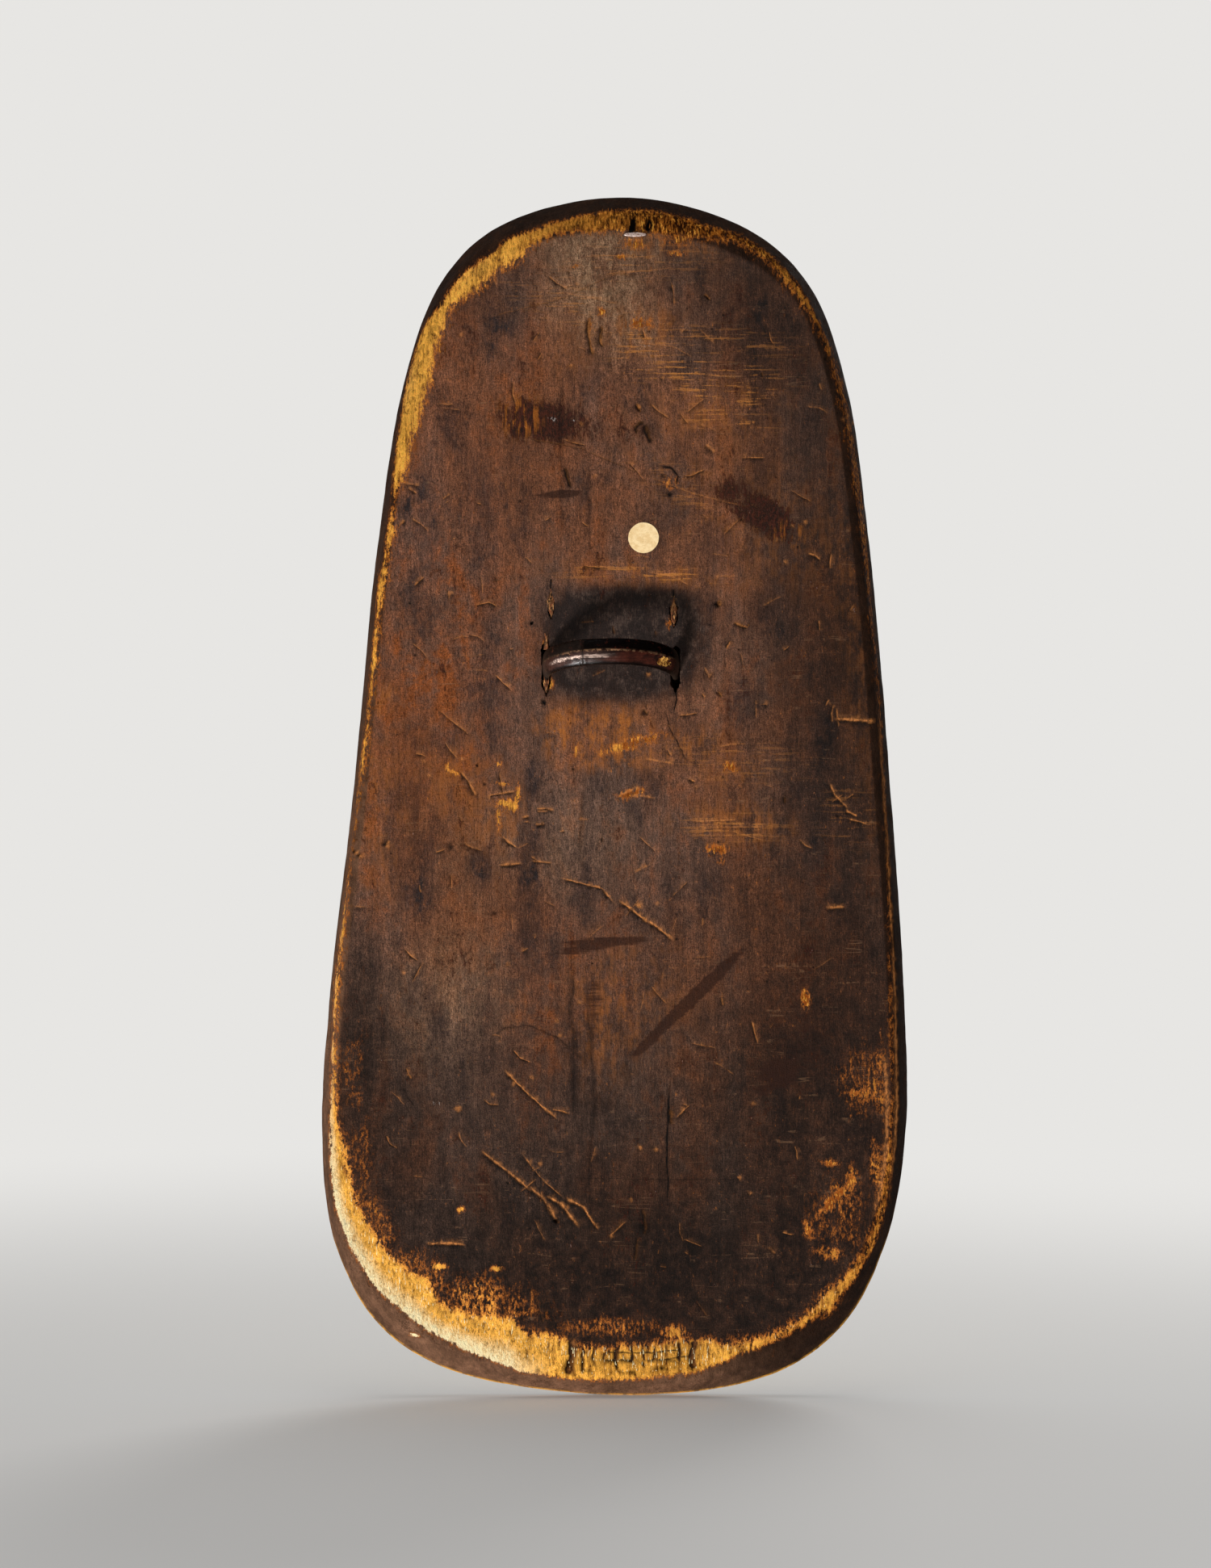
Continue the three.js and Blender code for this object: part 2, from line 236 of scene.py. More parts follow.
class Patch:
    """A soft oval or a blunt rectangle on the back, placed by a pixel of the photograph."""

    def __init__(self, px, py, half_width, half_height, tilt=0.0, strength=1.0, soft=0.35, blunt=2.0):
        self.middle, self.half = at_photo(px, py), np.array([half_width, half_height]) * MM_PER_PX
        self.tilt, self.strength, self.soft, self.blunt = math.radians(tilt), strength, soft, blunt

    def share(self, places):
        """1 at the middle, 0 at the outline and below 0 beyond it."""
        offset = places - self.middle
        turn, lift = math.cos(self.tilt), math.sin(self.tilt)
        u = np.abs(offset[:, 0] * turn + offset[:, 1] * lift) / self.half[0]
        v = np.abs(offset[:, 1] * turn - offset[:, 0] * lift) / self.half[1]
        return 1 - (u ** self.blunt + v ** self.blunt) ** (1 / self.blunt)

    def cover(self, places):
        return self.strength * smooth_step(-self.soft, self.soft, self.share(places))


def scores(**rows):
    """Marks by name: path in pixels, width, depth, and how pale, dark, burred and wavy they are."""
    return {name: Score(*row) for name, row in rows.items()}


# Scratches that show pale raw wood
SCRATCHES = scores(
    right_arris_line=([(1087, 850), (1095, 985), (1103, 1121), (1109, 1240), (1110, 1350), (1107, 1430),
                       (1098, 1496)], 1.5, 0.1, 0.55),
    right_arris_inner=([(1093, 1296), (1098, 1370), (1096, 1430), (1088, 1478), (1078, 1512)], 1.7, 0.2, 0.6),
    long_diagonal_start=([(693, 1088), (745, 1100), (763, 1121)], 0.8, 0.3, 0.7),
    long_diagonal_end=([(763, 1114), (800, 1140), (820, 1153), (836, 1167)], 1.1, 0.5, 0.85),
    score_a=([(594, 1424), (613, 1440), (637, 1458), (660, 1478)], 1.0, 0.45, 0.7),
    score_a_end=([(652, 1470), (672, 1484), (685, 1505), (690, 1513)], 1.4, 0.6, 0.55),
    score_a_branch=([(675, 1481), (695, 1492), (717, 1521)], 1.2, 0.5, 0.85),
    score_b=([(644, 1426), (668, 1458), (700, 1486)], 0.7, 0.25, 0.55),
    score_b_end=([(698, 1484), (722, 1496), (730, 1508), (742, 1525)], 1.1, 0.45, 0.8),
    score_c=([(622, 1324), (648, 1350), (672, 1371), (692, 1388)], 0.9, 0.4, 0.8),
    low_left_dash=([(527, 1541), (556, 1540), (577, 1543)], 1.1, 0.3, 0.85),
    left_long=([(543, 879), (566, 898), (582, 911)], 0.7, 0.35, 0.45),
    left_short=([(569, 955), (580, 968), (590, 987)], 0.9, 0.4, 0.6),
    left_level=([(618, 1072), (646, 1070)], 1.0, 0.3, 0.7),
    left_level_end=([(658, 1067), (684, 1069)], 0.7, 0.25, 0.5),
    left_flat_curve=([(574, 1044), (585, 1051), (598, 1054)], 0.9, 0.4, 0.35),
    left_bright_nick=([(622, 1036), (632, 1045), (641, 1051)], 1.2, 0.45, 0.85),
    fibres_streak_high=([(766, 986), (782, 980), (794, 974)], 0.9, 0.2, 0.6),
    fibres_streak_low=([(780, 986), (800, 987), (812, 990)], 0.8, 0.2, 0.55),
    centre_dash_high=([(664, 1002), (676, 1001), (687, 1004)], 1.0, 0.3, 0.6),
    centre_dash_low=([(665, 1006), (679, 1005)], 0.8, 0.25, 0.5),
    centre_nick_left=([(646, 1013), (656, 1011)], 0.9, 0.3, 0.55),
    centre_nick_low=([(648, 1018), (656, 1018)], 0.7, 0.25, 0.45),
    centre_curl=([(663, 1021), (669, 1022), (675, 1019)], 1.0, 0.35, 0.6),
    centre_fleck=([(693, 1030), (700, 1029)], 0.9, 0.3, 0.6),
    bar_end_line=([(798, 940), (818, 944), (836, 946)], 0.8, 0.2, 0.6),
    orange_level_low=([(714, 1014), (730, 1016)], 1.2, 0.1, 0.4),
    orange_slant_low=([(786, 1081), (808, 1069)], 1.2, 0.2, 0.5),
    mid_fine_one=([(640, 980), (608, 985), (604, 992)], 0.8, 0.3, 0.6),
    right_fine_one=([(856, 1018), (915, 1016)], 0.6, 0.2, 0.6),
    right_fine_two=([(862, 1026), (951, 1024)], 0.6, 0.2, 0.45),
    right_fine_three=([(905, 1030), (948, 1041)], 0.6, 0.2, 0.5),
    right_edge_one=([(1027, 970), (1034, 985), (1050, 1003)], 0.8, 0.3, 0.6),
    right_edge_two=([(1047, 1004), (1062, 1011)], 1.0, 0.35, 0.9),
    right_edge_three=([(1050, 1014), (1074, 1021)], 0.7, 0.3, 0.7),
    right_edge_nick=([(1032, 891), (1087, 894)], 1.1, 0.35, 0.95),
    right_dash=([(872, 826), (878, 840), (884, 832)], 0.7, 0.25, 0.4),
    right_of_slot=([(899, 804), (905, 793)], 0.8, 0.25, 0.7),
    right_of_slot_low=([(917, 808), (921, 828)], 0.6, 0.3, 0.3),
    stitched_row=([(1023, 1126), (1047, 1124)], 1.0, 0.25, 0.6),
    mid_level_right=([(890, 925), (925, 921)], 0.6, 0.2, 0.5),
    upper_lines_one=([(783, 424), (833, 430), (860, 444)], 0.5, 0.2, 0.3),
    top_level_one=([(748, 340), (838, 332)], 0.5, 0.15, 0.35),
    top_level_two=([(688, 360), (770, 378)], 0.5, 0.15, 0.3),
    white_line_two=([(775, 442), (782, 425)], 0.5, 0.1, 0.6),
    left_upper_dash=([(540, 500), (562, 501)], 0.7, 0.3, 0.35),
    left_upper_twin=([(548, 505), (570, 508)], 0.6, 0.3, 0.3),
    left_nick=([(499, 598), (520, 602)], 1.1, 0.4, 0.35),
    left_nick_low=([(505, 604), (516, 612)], 0.9, 0.4, 0.5),
    left_curl=([(502, 644), (496, 650)], 1.0, 0.4, 0.7),
    gouge_left_of_patch=([(554, 738), (563, 734)], 1.6, 0.6, 0.35),
    fleck_below_patch=([(880, 686), (905, 690)], 0.6, 0.2, 0.3),
    curved_right=([(1001, 686), (1009, 688), (1016, 694)], 0.9, 0.35, 0.6),
    curl_middle_right=([(873, 551), (879, 556), (885, 562)], 1.4, 0.5, 0.45),
    curl_middle=([(788, 500), (792, 507)], 1.2, 0.4, 0.5),
    level_high_middle=([(818, 466), (823, 470)], 1.6, 0.5, 0.4),
    bottom_streak_one=([(662, 1510), (668, 1524), (675, 1537)], 0.7, 0.25, 0.3),
    label_line_upper=([(800, 590), (860, 612), (925, 628)], 0.5, 0.15, 0.35),
    above_patch_line=([(800, 708), (830, 714), (855, 725)], 0.6, 0.2, 0.55),
    left_low_curl=([(437, 1052), (446, 1060), (448, 1064)], 1.0, 0.4, 0.7),
    left_low_pair=([(431, 1122), (456, 1124)], 0.7, 0.25, 0.35),
    left_low_hook=([(481, 1040), (477, 1050)], 1.0, 0.3, 0.7),
    right_low_streak=([(861, 1186), (882, 1186)], 0.6, 0.2, 0.3),
    right_low_dash=([(855, 1292), (887, 1298)], 0.6, 0.25, 0.35),
    low_right_curl=([(950, 1545), (960, 1554)], 1.0, 0.3, 0.25),
)

# Small nicks and pits all over the back: how many, and the part of the back they lie in, in pixels
NICK_COUNT = 150
NICK_TURNS = (5, 35, -40, 85)
PIT_COUNT = 70
NICK_AREA = ((480, 330), (1060, 1580))
# How dark the pits are painted, as shade in the hollow; below 0, pale
PIT_DARKNESS = (0.75, 0.6, -0.5)


def scattered_nicks():
    """Seeded short scratches, mostly level or slanting down to the right."""
    chance = np.random.RandomState(2024)
    nicks = {}
    for number in range(NICK_COUNT):
        px, py = chance.uniform(*NICK_AREA)
        turn = math.radians(chance.choice(NICK_TURNS) + chance.normal(0, 14))
        reach = min(chance.gamma(2.0, 4.4), 15)
        bend = chance.normal(0, 0.12) * reach
        aside, down = reach * math.cos(turn), reach * math.sin(turn)
        ends = [(px - aside, py - down), (px + bend, py - bend), (px + aside, py + down)]
        strength = chance.uniform(0.2, 0.65)
        nicks[f"nick_{number}"] = Score(ends, chance.uniform(0.36, 0.72), 0.35 * strength + 0.1, strength)
    return nicks


# Marks painted dark: shade inside splits along the grain, insect holes and old gouges, and shallow dark runs
# along the grain
CRACKS = scores(
    below_right_slot=([(836, 850), (838, 866), (835, 882)], 0.6, 0.7, 0, 1.2, 0, 0.15),
    below_right_slot_long=([(823, 878), (830, 902), (842, 925), (852, 945)], 0.55, 0.3, 0, 0.7, 0, 0.5),
    above_right_slot=([(834, 729), (835, 742)], 0.7, 0.6, 0, 1.1, 0, 0.15),
    above_left_slot=([(683, 716), (682, 731)], 0.7, 0.5, 0, 1.1, 0, 0.15),
    foot_split=([(829, 1340), (828, 1376), (826, 1420), (828, 1500)], 0.6, 0.6, 0, 1.0, 0, 0.3),
    foot_split_mouth=([(828, 1373), (831, 1382), (830, 1393)], 1.7, 0.9, 0.15, 1.3, 0.2, 0.1),
    upper_split=([(699, 578), (702, 590), (707, 605)], 1.25, 0.9, 0.1, 1.3, 0.2, 0.4),
    gouge_pair_left=([(730, 392), (728, 408), (731, 430), (735, 442)], 1.3, 0.6, 0.5, 1.2, 0.3, 0.2),
    gouge_pair_right=([(745, 402), (743, 424), (748, 431)], 1.3, 0.6, 0.45, 1.2, 0.3, 0.2),
    knot_trail=([(796, 1495), (799, 1521), (796, 1530)], 1.4, 0.6, 0.1, 1.1, 0.2, 0.3),
    knot_trail_low=([(790, 1532), (788, 1548), (786, 1562)], 1.3, 0.7, 0.1, 1.2, 0.2, 0.2),
    score_a_hole=([(684, 1508), (692, 1516)], 1.7, 1.0, 0.1, 1.0, 0.3, 0.1),
    band_split_left=([(707, 1656), (709, 1678), (702, 1706)], 2.6, 1.1, 0.3, 1.5, 0.4, 0.4),
    band_split_right=([(862, 1658), (856, 1680), (859, 1699)], 2.2, 1.1, 0.3, 1.6, 0.4, 0.3),
    band_check_one=([(737, 1666), (734, 1680), (737, 1694)], 1.2, 0.6, 0.1, 0.95, 0.3, 0.3),
    band_check_two=([(764, 1668), (761, 1684), (765, 1702)], 1.4, 0.6, 0.1, 1.1, 0.3, 0.3),
    band_check_three=([(781, 1664), (784, 1680), (782, 1690)], 1.1, 0.6, 0.1, 1.1, 0.3, 0.3),
    band_check_four=([(812, 1666), (809, 1690)], 1.1, 0.6, 0.1, 0.9, 0.3, 0.3),
    band_check_five=([(840, 1660), (842, 1676), (839, 1692)], 1.3, 0.6, 0.1, 1.1, 0.3, 0.3),
    band_check_six=([(652, 1668), (656, 1690)], 1.0, 0.6, 0.1, 0.6, 0.3, 0.3),
    band_check_seven=([(720, 1672), (722, 1688), (719, 1702)], 0.9, 0.6, 0.1, 0.95, 0.3, 0.3),
    band_check_eight=([(748, 1674), (746, 1690)], 0.8, 0.5, 0.1, 0.9, 0.3, 0.3),
    band_check_nine=([(796, 1667), (798, 1684), (795, 1700)], 1.0, 0.6, 0.1, 1.0, 0.3, 0.3),
    band_check_ten=([(826, 1664), (824, 1682)], 0.9, 0.5, 0.1, 0.7, 0.3, 0.3),
    band_check_eleven=([(876, 1662), (878, 1682)], 0.9, 0.5, 0.1, 0.7, 0.3, 0.3),
    band_check_twelve=([(680, 1662), (677, 1682)], 0.8, 0.5, 0.1, 0.6, 0.3, 0.3),
    band_cross_low=([(716, 1697), (780, 1700), (846, 1692)], 0.6, 0.2, 0, 0.85, 0, 0.3),
    band_cross_middle=([(728, 1684), (800, 1686), (866, 1679)], 0.6, 0.2, 0, 0.8, 0, 0.3),
    band_cross_high=([(742, 1675), (806, 1676), (850, 1670)], 0.6, 0.2, 0, 0.8, 0, 0.3),
    top_edge_split_left=([(783, 270), (784, 280), (780, 290)], 2.6, 0.9, 0, 1.4, 0.2, 0.2),
    top_edge_split_right=([(806, 270), (804, 280), (801, 289)], 2.0, 0.9, 0, 1.3, 0.2, 0.2),
    worm_track=([(798, 525), (800, 534), (806, 549)], 1.6, 0.8, 0.1, 1.3, 0.3, 0.3),
    worm_track_left=([(799, 525), (793, 523), (787, 529), (788, 539)], 1.2, 0.6, 0.1, 1.1, 0.3, 0.3),
    right_vertical_nick=([(943, 460), (945, 468)], 1.1, 0.7, 0.1, 1.2, 0.2, 0.1),
    left_vertical_nick=([(746, 1036), (745, 1044)], 0.6, 0.5, 0.1, 0.9, 0.1, 0.1),
    right_middle_nick=([(971, 986), (972, 996)], 1.2, 0.7, 0.1, 1.2, 0.2, 0.1),
    curl_upper_right=([(893, 1235), (895, 1246)], 0.9, 0.6, 0.3, 0.7, 0.2, 0.1),
    notch_upper_left=([(702, 335), (706, 339)], 1.1, 0.5, 0.2, 0.7, 0.3, 0.1),
    notch_right_high=([(872, 364), (880, 372)], 1.2, 0.6, 0.3, 0.6, 0.3, 0.1),
    gouge_low_left=([(663, 1605), (668, 1622), (674, 1640)], 0.6, 0.4, 0.1, 0.5, 0.2, 0.2),
    gouge_low_right=([(862, 1610), (876, 1632)], 0.7, 0.4, 0.1, 0.5, 0.2, 0.2),
    dark_run_left=([(712, 1186), (708, 1250), (712, 1320), (709, 1400)], 2.2, 0.03, 0, 0.5, 0, 0.7),
    dark_run_right=([(728, 1226), (732, 1300), (736, 1370), (731, 1450), (733, 1560)], 1.8, 0.03,
                    0, 0.45, 0, 0.7),
    dark_run_upper=([(696, 462), (693, 530), (698, 600), (694, 680)], 2.2, 0.03, 0, 0.4, 0, 0.7),
    dark_run_side=([(731, 540), (728, 620), (733, 700)], 1.8, 0.03, 0, 0.35, 0, 0.6),
    dark_run_middle=([(722, 980), (718, 1040), (722, 1090)], 1.8, 0.03, 0, 0.4, 0, 0.6),
    arc_low=([(603, 1290), (625, 1273), (655, 1270), (690, 1285), (715, 1305), (735, 1325)], 0.9, 0.1,
             0, 0.45, 0, 0.2),
    level_line_low=([(690, 1458), (800, 1461), (943, 1460)], 0.45, 0.1, 0, 0.45, 0, 0.2),
    slant_line_high=([(640, 540), (720, 556), (800, 590)], 0.5, 0.15, 0.15, 0.5, 0, 0.3),
    slant_line_top=([(600, 395), (690, 372), (780, 332)], 0.5, 0.15, 0.2, 0.4, 0, 0.3),
    curl_middle_gap=([(787, 500), (791, 504), (793, 511)], 1.3, 0.6, 0.3, 1.2, 0.2, 0.1),
    residue_arc=([(817, 577), (832, 580), (840, 590), (837, 601)], 0.9, 0.3, 0, 0.9, 0.1, 0.2),
    nick_beside_soot=([(925, 773), (928, 776)], 2.0, 0.5, 0.3, 0.9, 0.2, 0.1),
    nick_trail_right=([(908, 772), (916, 775), (927, 778)], 1.0, 0.5, 0.5, 1.1, 0.3, 0.2),
    dent_trail_right=([(888, 744), (892, 752)], 1.6, 0.8, 0.3, 1.2, 0.2, 0.1),
    grip_tick_left=([(759, 774), (760, 786)], 0.9, 0.3, 0.1, 0.9, 0.1, 0.1),
    grip_tick_right=([(811, 780), (812, 790)], 0.8, 0.3, 0.1, 0.8, 0.1, 0.1),
    low_tick_middle=([(796, 878), (803, 886)], 1.0, 0.5, 0.2, 1.0, 0.2, 0.1),
    low_tick_right=([(889, 856), (894, 864)], 0.9, 0.5, 0.3, 0.9, 0.2, 0.1),
    faint_low_left=([(497, 1346), (514, 1370)], 0.5, 0.3, 0, 0.5, 0.1, 0.4),
)

# Every cut line, in the order in which the mesh takes it up
MARKS = (*SCRATCHES.values(), *scattered_nicks().values(), *CRACKS.values())

# Round dents and insect holes: pixel, radius and depth in millimetres, and how dark they are painted as shade
# in the hollow, heavier on the lamp side; below 0, how pale
DENTS = dict(
    worm_hole_left=((659, 771), 1.4, 1.6, 1.0), worm_hole_right=((888, 748), 2.6, 1.0, 0.55),
    hole_low_middle=((689, 1512), 2.2, 1.4, 0.9), dent_oval=((783, 341), 3.2, 0.7, 0.25),
    dent_high_right=((877, 366), 2.2, 0.8, 0.5), dent_label=((567, 675), 2.0, 0.8, 0.3),
    dent_label_low=((614, 716), 2.2, 0.8, 0.4), dent_residue=((821, 588), 1.8, 0.9, 0.5),
    dent_residue_low=((830, 612), 2.6, 1.0, 0.75), dent_middle=((707, 453), 1.3, 0.5, -0.8),
    dent_left_middle=((613, 1131), 2.4, 0.9, 0.5), dent_left_slate=((558, 1047), 2.6, 0.7, 0.6),
    dent_knot=((799, 1519), 3.4, 1.2, 0.7), dent_foot_left=((620, 1571), 1.6, 0.7, 0.2),
    dent_right_edge=((1037, 1010), 1.6, 0.8, 0.6), dent_high_middle=((791, 506), 1.8, 0.7, 0.2),
    dent_slot_low=((674, 869), 2.6, 1.2, 0.8), dent_grip_right=((798, 883), 2.4, 0.9, 0.6),
    dent_strap_right=((888, 858), 1.6, 0.7, 0.5), pale_dot_low=((568, 1373), 2.2, 0.5, -0.8),
    pale_dot_right=((916, 1459), 1.5, 0.4, -0.6), pale_dot_chips=((793, 1421), 1.8, 0.3, -0.8),
    pale_dot_chips_end=((812, 1424), 1.6, 0.3, -0.7), pale_dot_high=((862, 975), 1.8, 0.4, -0.4),
    pale_dot_left=((572, 940), 1.4, 0.4, -0.8), pale_dot_upper=((571, 415), 1.6, 0.4, -0.6),
    hole_left=((591, 948), 1.2, 0.9, 0.8), pale_dot_low_left=((629, 1194), 1.6, 0.3, -0.6),
    pale_dot_patch=((815, 1119), 1.6, 0.2, -0.5), pale_dot_bit=((791, 1122), 2.6, 0.4, -0.8),
)

for pit in range(PIT_COUNT):
    spot = np.random.RandomState(500 + pit).uniform(*NICK_AREA)
    DENTS[f"pit_{pit}"] = (tuple(spot), 0.7 + 0.5 * (pit % 3), 0.5, PIT_DARKNESS[pit % 3])

# The worn arris, clockwise from the top middle: inner pixel, outer pixel, how complete, and how pale, which
# paints light: low for deeper orange-brown in painted shade, mostly at the top and right, high for cream in
# painted highlight at the lower left
WORN_ARRIS = (
    (787, 287, 787, 259, 1.0, -0.7), (830, 291, 830, 263, 0.95, -0.8), (863, 296, 868, 276, 0.85, -0.8),
    (909, 298, 914, 288, 0.8, -0.8), (946, 320, 952, 312, 0.8, -0.7), (979, 359, 987, 352, 0.8, -0.5),
    (1004, 393, 1010, 388, 0.8, -0.5), (1025, 432, 1030, 429, 0.7, -0.6), (1034, 468, 1042, 465, 0.55, -0.6),
    (1048, 528, 1056, 526, 0.5, -0.7), (1061, 620, 1070, 618, 0.5, -0.7), (1072, 720, 1080, 720, 0.25, -0.8),
    (1089, 900, 1096, 900, 0.1, -0.7), (1098, 1100, 1104, 1100, 0.1, -0.8),
    (1100, 1300, 1108, 1300, 0.2, -0.6), (1094, 1400, 1108, 1400, 0.12, -0.7),
    (1086, 1470, 1104, 1480, 0.15, -0.6), (1066, 1540, 1084, 1550, 0.0, -0.6),
    (1018, 1600, 1036, 1612, 0.6, -0.3), (990, 1628, 1000, 1642, 0.35, -0.3),
    (950, 1648, 958, 1664, 0.35, -0.4), (905, 1660, 908, 1682, 0.6, -0.1), (870, 1657, 872, 1697, 0.95, -0.3),
    (845, 1658, 845, 1703, 0.95, -0.3), (800, 1664, 800, 1708, 0.95, -0.3),
    (760, 1669, 760, 1711, 0.95, -0.25), (715, 1668, 713, 1710, 0.95, -0.1),
    (690, 1654, 680, 1706, 1.0, 0.15), (652, 1650, 645, 1700, 1.0, 0.5), (642, 1632, 618, 1690, 0.95, 0.75),
    (590, 1628, 568, 1668, 0.9, 0.95), (548, 1614, 528, 1646, 0.95, 1.0), (530, 1584, 500, 1626, 0.95, 1.0),
    (497, 1566, 470, 1600, 1.0, 1.0), (470, 1534, 445, 1563, 1.0, 1.0), (455, 1510, 428, 1530, 1.0, 0.9),
    (442, 1488, 416, 1495, 0.95, 0.8), (436, 1460, 411, 1465, 0.95, 0.7), (430, 1430, 409, 1432, 0.9, 0.6),
    (420, 1380, 408, 1380, 0.7, 0.4), (419, 1320, 409, 1320, 0.6, 0.35), (420, 1240, 411, 1240, 0.55, 0.3),
    (427, 1180, 416, 1180, 0.45, 0.3), (434, 1110, 425, 1110, 0.35, 0.2), (441, 1040, 433, 1040, 0.2, 0.1),
    (450, 975, 441, 975, 0.3, 0.1), (457, 935, 447, 935, 0.7, 0.1), (461, 880, 452, 880, 0.45, 0.1),
    (468, 820, 460, 820, 0.9, 0.1), (473, 765, 464, 765, 0.6, 0.1), (481, 712, 468, 712, 0.8, 0.1),
    (484, 690, 475, 690, 0.5, 0.1), (491, 655, 479, 655, 0.7, 0.1), (491, 625, 485, 625, 0.45, 0.1),
    (500, 585, 487, 585, 0.95, 0.1), (512, 545, 492, 541, 1.0, 0.1), (522, 508, 498, 503, 1.0, 0.15),
    (535, 470, 506, 463, 1.0, 0.2), (538, 440, 514, 432, 0.95, 0.1), (548, 412, 526, 402, 1.0, 0.1),
    (560, 381, 546, 376, 0.8, 0.1), (594, 358, 572, 342, 1.0, 0.15), (615, 336, 604, 318, 1.0, 0.15),
    (643, 322, 634, 294, 1.0, -0.25), (668, 300, 662, 284, 0.8, -0.4), (700, 288, 695, 272, 0.9, -0.55),
    (745, 287, 743, 263, 1.0, -0.65),
)


def patches(**rows):
    """Patches by name, from their middle and half sizes in pixels, tilt and strength."""
    return {name: Patch(*row) for name, row in rows.items()}


# Places away from the arris that are worn to the same pale wood
WORN_PATCHES = patches(
    hook_tip=(641, 985, 3, 13, -4, 0.9), hook_bend=(634, 998, 7, 8, 30, 0.85),
    hook_foot=(623, 994, 9, 4, -10, 0.6), hook_stem=(617, 1010, 4, 22, 3, 0.42),
    hook_dash=(623, 971, 11, 3, -8, 0.4), orange_bit_left=(617, 946, 6, 5, 0, 0.3),
    orange_bit_bar=(713, 930, 5, 12, 0, 0.3), left_fleck=(554, 950, 4, 9, -10, 0.42),
    left_fleck_trail=(563, 957, 8, 3, -30, 0.4), tear_right=(889, 1052, 13, 6, 0, 0.75),
    tear_right_low=(892, 1066, 6, 6, 0, 0.4), fibres_middle=(780, 983, 17, 6, 14, 0.62),
    fibres_right=(905, 949, 9, 6, -25, 0.7), bar_below_grip=(782, 921, 50, 8, 16, 0.45),
    chip_low_right=(998, 1237, 5, 11, 5, 0.85), ring_patch_top=(1028, 1440, 16, 6, -8, 0.15),
    ring_patch_right=(1053, 1464, 9, 22, -6, 0.35), ring_patch_middle=(1034, 1486, 32, 9, 46, 0.5),
    ring_patch_left=(1002, 1524, 8, 13, 20, 0.4), ring_patch_foot=(1026, 1551, 19, 9, -12, 0.5),
    ring_patch_dust=(1040, 1500, 50, 70, -20, -0.4), right_patches_high=(1070, 1340, 40, 56, 0, -0.3),
    right_patches_level=(1066, 1354, 26, 7, -8, 0.3), right_patches_upright=(1084, 1340, 5, 24, 4, 0.35),
    right_patches_edge=(1092, 1340, 10, 54, 3, 0.0), right_patches_low=(1086, 1450, 10, 40, 6, 0.1),
    foot_speckle_middle=(760, 1644, 86, 16, 0, -0.2), foot_speckle_right=(833, 1650, 16, 9, 0, 0.5),
    foot_right_corner=(1022, 1615, 16, 12, 50, 0.8), foot_left_tongue=(606, 1612, 86, 36, -14, -0.15),
    foot_left_tongue_high=(526, 1578, 64, 32, -42, -0.26), foot_left_upper=(464, 1510, 26, 60, 32, -0.3),
    left_lower_speckle=(438, 1330, 22, 84, 0, -0.62), left_lower_speckle_low=(446, 1440, 28, 76, -8, -0.5),
    dash_low_left=(543, 1569, 12, 4, 0, 0.75), dash_low_middle=(616, 1571, 10, 4, 0, 0.6),
    chip_low=(571, 1498, 5, 4, 0, 0.6), top_low_left=(768, 318, 6, 3, 0, 0.8),
    top_below_staple=(785, 302, 18, 8, 0, 0.55), top_below_staple_right=(842, 296, 18, 8, 0, 0.5),
    top_right_speckle=(835, 314, 14, 5, 0, 0.35), top_flecks_left=(714, 329, 6, 3, 20, 0.6),
    orange_fleck_middle=(745, 386, 6, 5, -40, 0.7), orange_patch_middle=(793, 401, 14, 8, 0, 0.72),
    gouge_head=(729, 404, 4, 8, 0, 0.6), residue_orange_high=(832, 598, 10, 10, 0, 0.3),
    slot_lip_left=(675, 800, 4, 12, 0, 0.5), slot_lip_left_low=(681, 846, 4, 8, 0, 0.6),
    slot_lip_upper_right=(829, 772, 4, 7, 0, 0.6), wall_foot_left=(512, 1655, 7, 3, 0, 0.7),
)


def stains(**fields):
    """Lists of patches by field, each with its softness and bluntness too."""
    return {name: [Patch(*row) for row in rows] for name, rows in fields.items()}


